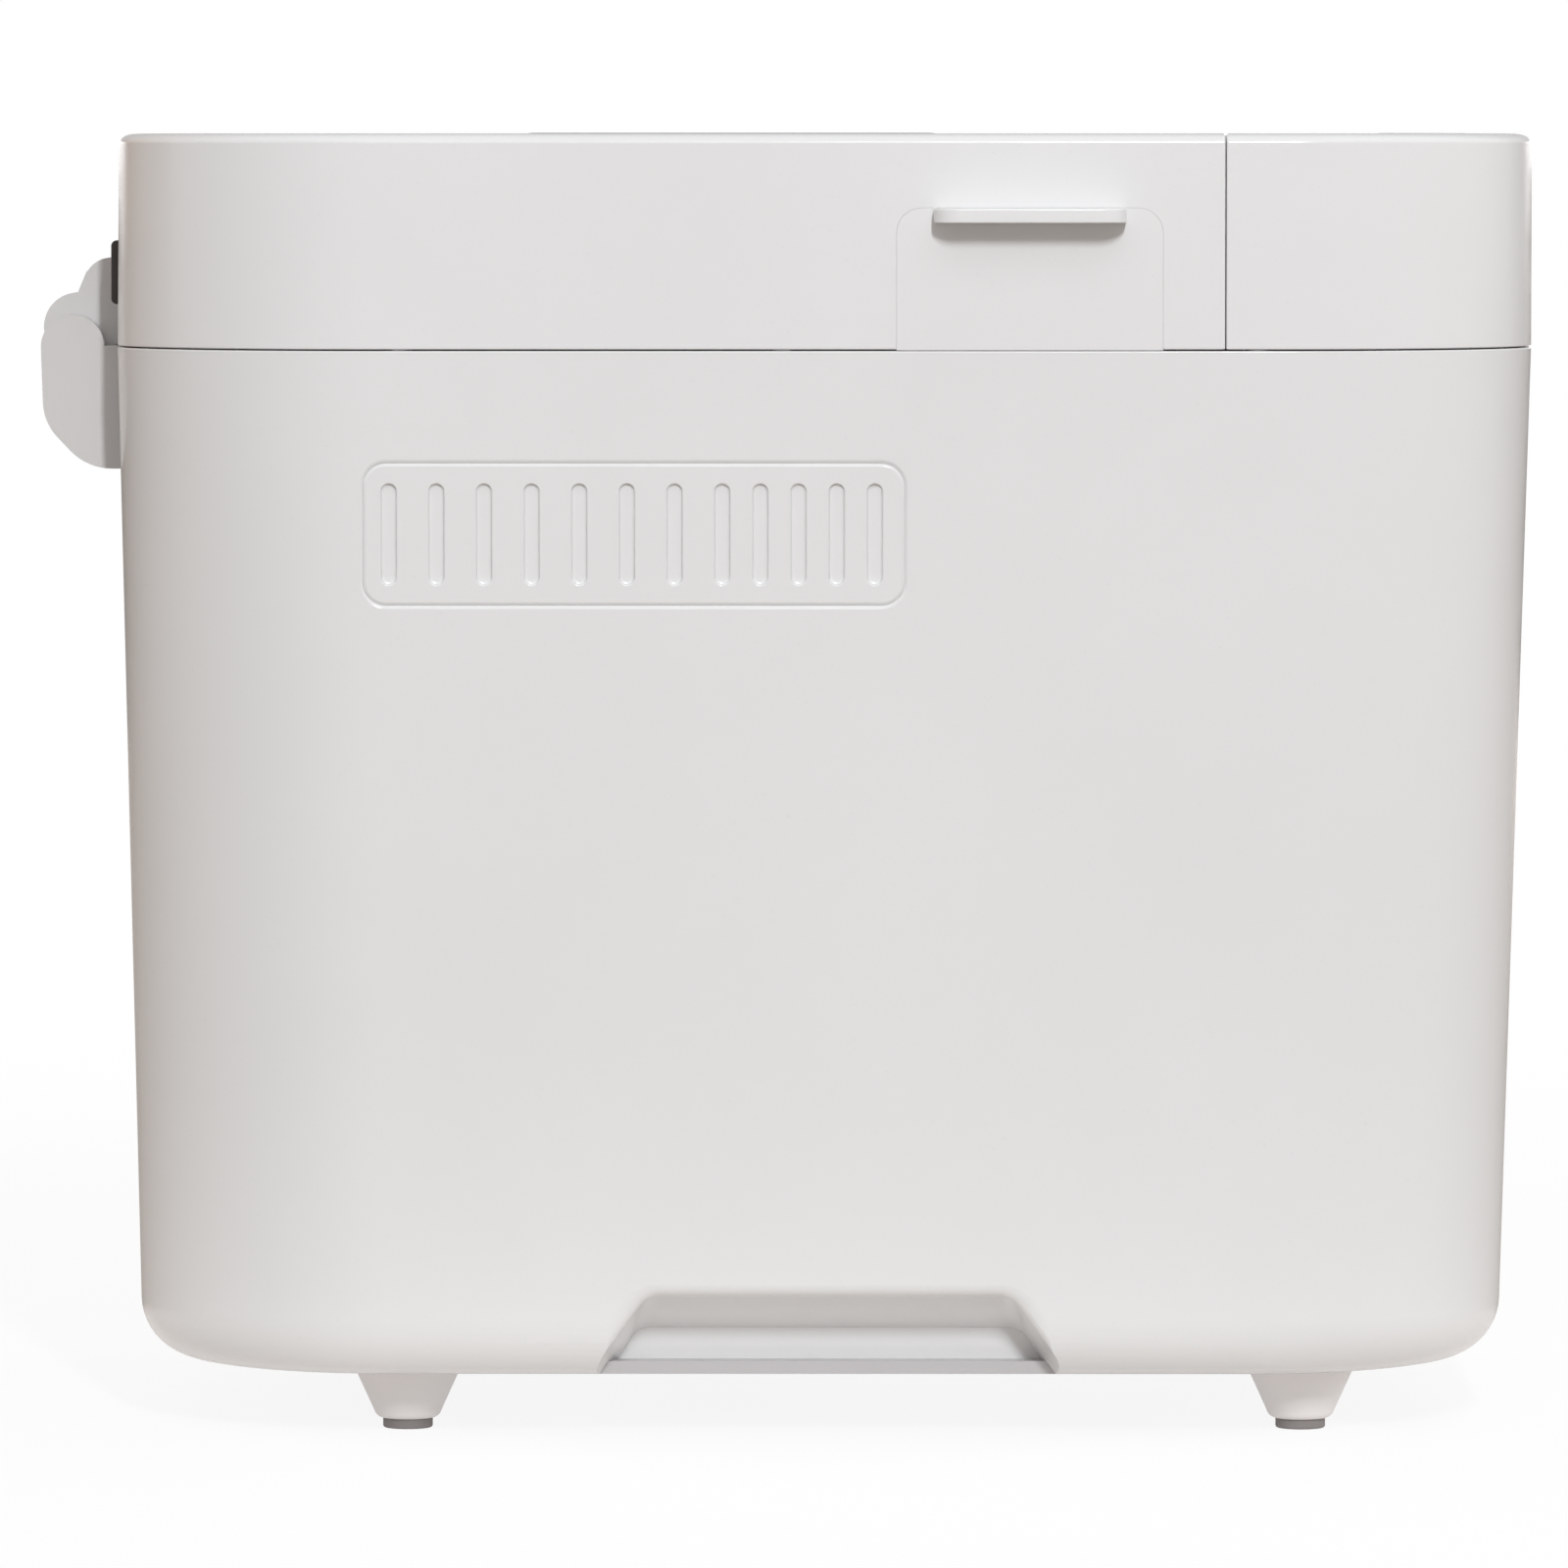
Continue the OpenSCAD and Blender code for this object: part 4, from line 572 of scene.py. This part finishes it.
# One side of the groove round a vent panel: (distance from the joint, depth)
GROOVE = [(0.0, 0.38), (0.2, 0.30), (0.4, 0.17), (0.6, 0.07), (0.8, 0.02)]
SLOTS, SLOT_W, SLOT_L, SLOT_R = 12, 3.5, 23.9, 1.749
SLOT_DEPTH, SLOT_LIP = 1.05, 0.5
SLOT_IN = 6.2                        # from the panel's rear end to the first slot's middle
WIDE_GAPS, WIDE_PITCH, NARROW_PITCH = 7, 11.3, 9.05


def make_body():
    rings = foot_rings(case_ring, BASE_Z, BOTTOM_ROUND, 12)
    body = loft("body_case", rings + top_rings(case_ring, SEAM_LOW, EDGE_R, 4))
    round_in = BOTTOM_ROUND - WALL
    inner = [case_ring(BASE_Z + WALL + round_in * (1 - math.cos(a)),
                       WALL + round_in * (1 - math.sin(a)), 10) for a in quarter(4)]
    inner.append(case_ring(SEAM_LOW + OVER, WALL, 10))
    cavity = combine(cutter(inner), [grip_casing(-1), grip_casing(1)])
    base_opening = upright(case_plan(BASE_Z, BASE_INSET, 12), BASE_Z - 2, BASE_Z + BASE_SEAT)
    tools = [cavity, cutter(base_opening)]
    flare = (6.6, -0.5)              # carries the groove's slope on, past the surface
    for side in (-1, 1):
        wall = Wall(side, VENT_Y, VENT_Z)
        tools.append(cutter([wall(grown(VENT_L, VENT_H, VENT_R, grow), depth)
                             for grow, depth in [(0.0, VENT_DEPTH), *GROOVE, flare]]))
        tools.append(grip_hollow(side))
    tools.append(rod("y", GLAND_HOLE_R, REAR_Y - 16, REAR_Y + 2, (GLAND_X, GLAND_Z)))
    combine(body, tools)
    finish_piece(body, "white_gloss", "housing", stands_for=("body_shell",))


def slot_along(i):
    """Where a slot is along the panel. They start at the rear and close up near the front."""
    return (VENT_L / 2 - SLOT_IN - min(i, WIDE_GAPS) * WIDE_PITCH
            - max(i - WIDE_GAPS, 0) * NARROW_PITCH)


def make_vent_panel(side, name, cad_name):
    wall = Wall(side, VENT_Y, VENT_Z)
    rings = [wall(grown(VENT_L, VENT_H, VENT_R, -VENT_GAP), VENT_DEPTH)]
    rings += [wall(grown(VENT_L, VENT_H, VENT_R, -VENT_GAP - grow), depth)
              for grow, depth in GROOVE]
    panel = loft(name, rings)
    # A slot's hollow, from its floor's middle out: (how far the outline grows, depth)
    hollow = [(grow, SLOT_DEPTH - rise) for grow, rise in
              ((-0.7, 0), (-0.4, 0.02), (-0.15, 0.14), (-0.02, 0.36), (0, 0.5))]
    hollow += lip_rings(SLOT_LIP, 5)
    tools = []
    for i in range(SLOTS):
        place = Wall(side, VENT_Y + slot_along(i), VENT_Z)
        tools.append(cutter([place(grown(SLOT_W, SLOT_L, SLOT_R, grow), depth)
                             for grow, depth in hollow]))
    combine(panel, tools)
    finish_piece(panel, "white_gloss", "housing", 24, (cad_name,))


# ---------------------------------------------------------------- lid and control housing

SPLIT_CORNER_R = 0.5                 # upright corners at the split line
SPLIT_ROUND = 0.4                    # how far the top edge is rounded in at the split line


def lid_ring(z, inset, steps=24, split_inset=None):
    """Outline of the lid; the face at the split line may have an inset of its own."""
    at_split = inset if split_inset is None else split_inset
    rear = REAR_Y - LID_LEAN * (z - SEAM_HIGH) - inset
    return at_z(plan(CASE_W / 2 - inset, SPLIT_Y + SPLIT_GAP / 2 + at_split, rear,
                     SPLIT_CORNER_R, CORNER_R - inset, steps), z)


def front_ring(z, inset, steps=24, split_inset=None):
    """Outline of the control housing, likewise."""
    at_split = inset if split_inset is None else split_inset
    return at_z(plan(CASE_W / 2 - inset, FRONT_Y + inset, SPLIT_Y - SPLIT_GAP / 2 - at_split,
                     CORNER_R - inset, SPLIT_CORNER_R, steps), z)


def cover_rings(ring):
    rings = foot_rings(ring, SEAM_HIGH, EDGE_R, 4)
    for a in quarter(10):
        inward = 1 - math.cos(a)
        rings.append(ring(CASE_H - LID_ROUND * (1 - math.sin(a)), LID_ROUND_IN * inward,
                          split_inset=SPLIT_ROUND * inward))
    return rings


def cover_cavity(ring, steps):
    return cutter([ring(SEAM_HIGH - OVER, WALL, steps), ring(CASE_H - WALL, WALL, steps)])


WINDOW_Y = CASE_Y + 22.6
WINDOW_W, WINDOW_L, WINDOW_R = 86.3, 100.3, 11.15
# Openings for the window, from the top: its seat, and the hole below, as (w, l, r, depth)
WINDOW_OPENINGS = ((WINDOW_W, WINDOW_L, WINDOW_R, 1.2), (78, 92, 7, 6))
# Up the window's edge: (height from the lid's top, inset)
WINDOW_EDGE = ((-1.15, 0.4), (-1.0, 0.2), (-0.3, 0.2), (-0.1, 0.25), (0.05, 0.4), (0.12, 0.7))

TAB_Y = CASE_Y - 48.7                # middle of the lifting inserts
TAB_TOP = CASE_H - 17.6
INSERT_L, INSERT_R, INSERT_T = 63.2, 6.0, 1.6
INSERT_H = TAB_TOP - SEAM_HIGH
INSERT_GAP = 0.03
INSERT_EDGE = 0.06                   # breaks the insert's edge and the recess's edge
TAB_HALF, TAB_OUT, TAB_THICK, TAB_CORNER_R = 22.8, 10.0, 3.5, 6.0
TAB_ROOT = 0.8                       # how far the tab is let into its insert
TAB_LOW_EDGE, TAB_HIGH_EDGE = 0.3, 0.6

STEAM_X, STEAM_Z = 41, 278.35        # middle of a steam outlet
STEAM_DEPTH, STEAM_H, STEAM_R = 2.8, 15.5, 1.35
STEAM_SEAT = (14, 15.7, 0.6)
STEAM_SLITS, STEAM_SLIT, STEAM_SLIT_PITCH = 4, (10, 1.5, 0.4), 3.15


def side_insert(side):
    return Wall(side, TAB_Y, SEAM_HIGH, 0, CASE_W / 2)


def insert_outline(gap, foot):
    """Side view of the insert: rounded above, square at the seam."""
    half, high, r = INSERT_L / 2 - gap, INSERT_H - gap, INSERT_R - gap
    points = [(-half, foot), (half, foot)]
    for sx, start in ((1, 0), (-1, 90)):
        for a in quarter(8, start, start + 90):
            points.append((sx * (half - r) + r * math.cos(a), high - r + r * math.sin(a)))
    return points


def through_back(outline, start, end):
    """Rings of an outline seen from behind, from start to end along y."""
    return [[(x, y, z) for x, z in outline] for y in (start, end)]


def make_lid():
    lid = loft("lid_cover", cover_rings(lid_ring))
    tools = [cover_cavity(lid_ring, 10)]
    for w, l, r, depth in WINDOW_OPENINGS:
        outline = rounded_box(w, l, r, 10, (0, WINDOW_Y))
        tools.append(cutter(upright(outline, CASE_H - depth, CASE_H + 2)))
    below = -2
    for side in (-1, 1):
        wall = side_insert(side)
        tools.append(cutter([wall(insert_outline(gap, below), depth) for gap, depth in
                             ((0, INSERT_T), (0, INSERT_EDGE), (-0.05, -0.01), (-0.8, -0.76))]))
        seat = rounded_box(*STEAM_SEAT, 3, (side * STEAM_X, STEAM_Z))
        tools.append(cutter(through_back(seat, REAR_Y - 1, REAR_Y + 3)))
    combine(lid, tools)
    finish_piece(lid, "white_gloss", "lid", stands_for=("lid_shell",))


def make_window():
    """The tinted pane, all but flush with the lid round it."""
    pane = loft("window_pane", [
        at_z(rounded_box(WINDOW_W - 2 * inset, WINDOW_L - 2 * inset, WINDOW_R - inset, 10,
                         (0, WINDOW_Y)), CASE_H + rise) for rise, inset in WINDOW_EDGE])
    finish_piece(pane, "window_tint", "lid", stands_for=("lid_window",))


def make_grip(side, name, cad_name):
    """A lifting insert: a flush plate, with a tab along its top."""
    wall, foot = side_insert(side), -0.2
    plate = loft(name, [
        wall(insert_outline(INSERT_GAP, foot), INSERT_T),
        wall(insert_outline(INSERT_GAP, foot), INSERT_EDGE),
        wall(insert_outline(INSERT_GAP + INSERT_EDGE, foot + INSERT_EDGE), 0)])
    high = TAB_TOP - INSERT_GAP

    def tab_ring(z, inset):
        root, tip = CASE_W / 2 - TAB_ROOT, CASE_W / 2 + TAB_OUT - inset
        half, r = TAB_HALF - inset, TAB_CORNER_R - inset
        points = [(root, TAB_Y - half)]
        for sy, start in ((-1, -90), (1, 0)):
            for a in quarter(9, start, start + 90):
                points.append((tip - r + r * math.cos(a),
                               TAB_Y + sy * (half - r) + r * math.sin(a)))
        points.append((root, TAB_Y + half))
        return [(side * x, y, z) for x, y in points]

    tab = cutter(foot_rings(tab_ring, high - TAB_THICK, TAB_LOW_EDGE, 5)
                 + top_rings(tab_ring, high, TAB_HIGH_EDGE, 5))
    combine(plate, [tab], "UNION")
    finish_piece(plate, "white_gloss", "lid", stands_for=(cad_name,))


def make_rear_vents():
    """The two slitted steam outlets."""
    halves = []
    for side in (-1, 1):
        rings = []
        for across, inset in ((-6.95, 0.5), (-6.8, 0.15), (-6.45, 0),
                              (6.45, 0), (6.8, 0.15), (6.95, 0.5)):
            box = rounded_box(STEAM_DEPTH - 2 * inset, STEAM_H - 2 * inset, STEAM_R - inset, 5,
                              (REAR_Y + 0.5, STEAM_Z))
            rings.append([(side * (STEAM_X + across), y, z) for y, z in box])
        tools = []
        for i in range(STEAM_SLITS):
            height = STEAM_Z - 4.7 + i * STEAM_SLIT_PITCH
            slit = rounded_box(*STEAM_SLIT, 3, (side * STEAM_X, height))
            tools.append(cutter(through_back(slit, REAR_Y + 0.9, REAR_Y + 3)))
        halves.append(combine(loft("rear_vents", rings), tools))
    vents = combine(halves[0], halves[1:], "UNION")
    finish_piece(vents, "dark_plastic", "lid", stands_for=("lid_vents",))


KEYS, KEY_PITCH, KEY_HOLE_R = 6, 24, 5.8
KEY_Y, DISPLAY_Y, OVERLAY_Y = -154.575, -129.575, -140.575
OVERLAY, OVERLAY_SEAT = (158, 54, 9), 0.8
DISPLAY, HOLE_DEPTH = (52, 22, 2), 6


def key_x(i):
    return (i - (KEYS - 1) / 2) * KEY_PITCH


def make_front():
    front = loft("control_housing", cover_rings(front_ring))
    above = CASE_H + OVER
    overlay = rounded_box(*OVERLAY, 8, (0, OVERLAY_Y))
    display = rounded_box(*DISPLAY, 4, (0, DISPLAY_Y))
    tools = [cover_cavity(front_ring, 12), cutter(upright(overlay, CASE_H - OVERLAY_SEAT, above)),
             cutter(upright(display, CASE_H - HOLE_DEPTH, above))]
    for i in range(KEYS):
        tools.append(rod("z", KEY_HOLE_R, CASE_H - HOLE_DEPTH, above, (key_x(i), KEY_Y)))
    combine(front, tools)
    finish_piece(front, "white_gloss", "housing", stands_for=("front_cover",))


# ---------------------------------------------------------------- printed marks

def bar(x0, y0, x1, y1, t, trim):
    """A bar with pointed ends, trimmed at both."""
    length = math.hypot(x1 - x0, y1 - y0)
    ux, uy = (x1 - x0) / length, (y1 - y0) / length
    x0, y0, x1, y1 = x0 + ux * trim, y0 + uy * trim, x1 - ux * trim, y1 - uy * trim
    dx, dy = ux * t / 2, uy * t / 2
    return [(x0, y0), (x0 + dx + dy, y0 + dy - dx), (x1 - dx + dy, y1 - dy - dx), (x1, y1),
            (x1 - dx - dy, y1 - dy + dx), (x0 + dx - dy, y0 + dy + dx)]


# Ends of a seven-bar figure's bars, as (x, y, x, y) on a grid of 1 by 2
SEGMENTS = {"a": (0, 2, 1, 2), "b": (1, 1, 1, 2), "c": (1, 0, 1, 1), "d": (0, 0, 1, 0),
            "e": (0, 0, 0, 1), "f": (0, 1, 0, 2), "g": (0, 1, 1, 1)}
DIGITS = {"0": "abcdef", "1": "bc", "2": "abged", "3": "abgcd"}
TRIM = 0.08                          # of a bar's thickness, off each of its ends


def digit(figure, x, y, w, h, t):
    """The bars of one figure, centred on (x, y)."""
    bars = []
    for key in DIGITS[figure]:
        x0, y0, x1, y1 = SEGMENTS[key]
        bars.append(bar(x - w / 2 + x0 * w, y - h / 2 + y0 * h / 2,
                        x - w / 2 + x1 * w, y - h / 2 + y1 * h / 2, t, t * TRIM))
    return bars


def printed(name, outlines, low, high):
    """Outlines seen from above, raised by a hair's breadth."""
    marks = lofts(name, [upright(outline, low, high) for outline in outlines])
    finish_piece(marks, "dark_plastic", "housing")


def make_key_marks():
    """1, 2 and 3, an arrow up and one down, and a start and stop sign, below the keys."""
    y = KEY_Y - 8.6
    marks = []
    for i in range(3):
        marks += digit(str(i + 1), key_x(i), y, 1.5, 2.9, 0.42)
    for i, up in ((3, 1), (4, -1)):
        x = key_x(i)
        marks.append([(x - 1.6 * up, y - 1.1 * up), (x + 1.6 * up, y - 1.1 * up),
                      (x, y + 1.3 * up)])
    x = key_x(5)
    marks.append([(x - 2.7, y - 1.4), (x - 0.4, y), (x - 2.7, y + 1.4)])
    marks.append([(x + 0.5, y - 1.2), (x + 2.9, y - 1.2), (x + 2.9, y + 1.2), (x + 0.5, y + 1.2)])
    printed("key_marks", marks, CASE_H - 0.02, CASE_H + 0.03)


def make_display_digits():
    """3:00, just under the display's cover."""
    lit = []
    for figure, x in (("3", -9.5), ("0", 2.5), ("0", 11)):
        lit += digit(figure, x, DISPLAY_Y, 5.2, 11, 1.15)
    for y in (-2.4, 2.4):
        lit.append(rounded_box(1.2, 1.2, 0.3, 2, (-3.6, DISPLAY_Y + y)))
    printed("display_digits", lit, CASE_H - WALL - 0.04, CASE_H - WALL - 0.01)


make_body()
make_vent_panel(-1, "vent_ribs_left", "vent_panel_left")
make_vent_panel(1, "vent_ribs_right", "vent_panel_right")
make_lid()
make_window()
make_front()
make_grip(-1, "grip_tab_left", "lid_grip_left")
make_grip(1, "grip_tab_right", "lid_grip_right")
make_rear_vents()
make_key_marks()
make_display_digits()

# ---------------------------------------------------------------- camera and lights, in metres

collection = bpy.context.scene.collection


def face(obj, where, target):
    """Puts obj at a point, turned to look at the target."""
    obj.location = where
    obj.rotation_euler = (Vector(target) - obj.location).to_track_quat("-Z", "Y").to_euler()


view = bpy.data.cameras.new("camera")
view.sensor_width = 36
view.lens = 270.3
view.clip_start, view.clip_end = 0.1, 500
camera = bpy.data.objects.new("camera", view)
collection.objects.link(camera)
face(camera, (-2.904, CASE_Y * MM, 0.312), (-CASE_W / 2 * MM, CASE_Y * MM + 0.00953, 0.1578))
bpy.context.scene.camera = camera

MIDDLE = (0, 0, 0.16)
WHITE = (1, 1, 1)


def area(name, where, size, power, colour=WHITE, target=MIDDLE, mirrored=True):
    """A rectangular lamp that the camera can't see, and reflections only where mirrored."""
    lamp = bpy.data.lights.new(name, "AREA")
    lamp.shape = "RECTANGLE"
    lamp.size, lamp.size_y = size
    lamp.energy = power
    lamp.color = colour
    obj = bpy.data.objects.new(name, lamp)
    collection.objects.link(obj)
    face(obj, where, target)
    obj.visible_camera = False
    obj.visible_glossy = mirrored


def polar(azimuth, elevation, distance=3.0):
    """A point round the machine: azimuth 0 is its left side, and grows towards the front."""
    a, e = math.radians(azimuth), math.radians(elevation)
    flat = distance * math.cos(e)
    x, y, z = MIDDLE
    return (x - flat * math.cos(a), y - flat * math.sin(a), z + distance * math.sin(e))


area("key", polar(7.5, 28), (0.12, 0.5), 46, (0.945, 0.972, 1.0))
area("canopy", polar(4, 48), (3.0, 1.2), 8, (0.975, 0.988, 1.0))
area("lamp", polar(1.7, 17), (0.02, 0.05), 0.18)
area("top", (0.2, 0, 2.4), (2.0, 2.4), 1, target=(0, 0, 0.2), mirrored=False)
area("front_fill", (0.6, -3.0, 0.8), (1.6, 1.2), 26, mirrored=False)
area("rear_fill", (1.2, 2.8, 1.3), (1.4, 1.2), 19, (1.0, 0.91, 0.84), mirrored=False)
area("far_fill", (3.0, -0.4, 0.8), (1.6, 1.2), 36, mirrored=False)

# ---------------------------------------------------------------- surroundings

TO_RIGHT, TO_BACK, UP = (1.0, 0.0, 0.0), (0.0, 1.0, 0.0), (0.0, 0.0, 1.0)
TO_DIM = (0.970, 0.242, 0.0)         # middle of the dimmer side, right and a little back
ROOM = (1.0, 0.995, 0.99)
DIM, DIM_BACK = (0.42, 0.40, 0.40), (0.50, 0.27, 0.14)
GLEAM = (2.5, 2.45, 2.45)            # a bright patch low on the right, for the case's rims

world = bpy.data.worlds.new("surroundings")
world.use_nodes = True
bpy.context.scene.world = world
world.node_tree.nodes.clear()
w = Tree(world.node_tree)
rays = w.node("ShaderNodeLightPath").outputs
way = w.node("ShaderNodeTexCoord").outputs["Generated"]
rise = w.measure("DOT_PRODUCT", way, UP)

# Colour: a pale room, with a dimmer right side that is warm towards the back
dim = w.step(w.measure("DOT_PRODUCT", way, TO_DIM), 0.435, 0.475)
warm = w.step(w.measure("DOT_PRODUCT", way, TO_BACK), 0.30, 0.55)
right = w.step(w.measure("DOT_PRODUCT", way, TO_RIGHT), 0.83, 0.92)
low = w.math("SUBTRACT", 1.0, w.step(rise, 0.02, 0.12))
shade = w.mix(w.math("MULTIPLY", right, low), w.mix(warm, DIM, DIM_BACK), GLEAM)
room = w.mix(dim, ROOM, shade)

# Strength: a little more from above, and for reflections more from low down
high = w.step(rise, 0.12, 0.75)
soft = w.math("MULTIPLY_ADD", high, 0.18, 0.37)
extra = w.math("MULTIPLY_ADD", high, -0.6, 0.6)
strength = w.math("MULTIPLY_ADD", rays["Is Glossy Ray"], extra, soft)

# White where the camera sees it, also through glass
seen = w.math("MAXIMUM", rays["Is Camera Ray"], rays["Is Transmission Ray"])
light = w.node("ShaderNodeBackground", Color=room, Strength=strength)
white = w.node("ShaderNodeBackground", Color=WHITE, Strength=1.0)
w.node("ShaderNodeOutputWorld", Surface=w.blend(seen, light.outputs[0], white.outputs[0]))

# ---------------------------------------------------------------- floor

HALF_FLOOR = 150
BOUNCE, PAPER = (0.355, 0.315, 0.285), (0.93, 0.93, 0.93)

floor_mesh = bpy.data.meshes.new("floor")
bm = bmesh.new()
bmesh.ops.create_grid(bm, x_segments=1, y_segments=1, size=HALF_FLOOR)
bm.to_mesh(floor_mesh)
bm.free()
floor = bpy.data.objects.new("floor", floor_mesh)
collection.objects.link(floor)

paper = Surface("floor_paper", Roughness=0.9)
rays = paper.node("ShaderNodeLightPath").outputs
by_camera = rays["Is Camera Ray"]
paper.base(paper.mix(by_camera, BOUNCE, PAPER))

# All but the camera see a soft light under the machine and close round it
narrowed = paper.operate("ShaderNodeVectorMath", "MULTIPLY", (paper.coords, (1.5, 1.0, 0.0)))
near = paper.step(paper.measure("LENGTH", narrowed.outputs["Vector"]), 0.36, 0.21)
unseen = paper.math("SUBTRACT", 1.0, by_camera)
lift = paper.node("ShaderNodeEmission", Strength=paper.math(
    "MULTIPLY", paper.math("MULTIPLY", near, unseen), 0.49))
lit = paper.tree.nodes.new("ShaderNodeAddShader")
paper.feed(paper.bsdf.outputs[0], lit.inputs[0])
paper.feed(lift.outputs[0], lit.inputs[1])

# The camera sees mostly white, and some of the machine's shadow close to it
far = paper.step(paper.measure("LENGTH", paper.coords), 0.45, 1.5)
share = paper.math("MULTIPLY", by_camera, paper.math("MULTIPLY_ADD", far, 0.12, 0.88))
glow = paper.node("ShaderNodeEmission", Strength=1.0)
paper.feed(paper.blend(share, lit.outputs[0], glow.outputs[0]),
           paper.tree.nodes["Material Output"].inputs["Surface"])
floor_mesh.materials.append(paper.material)

bpy.context.scene.view_settings.view_transform = "Standard"
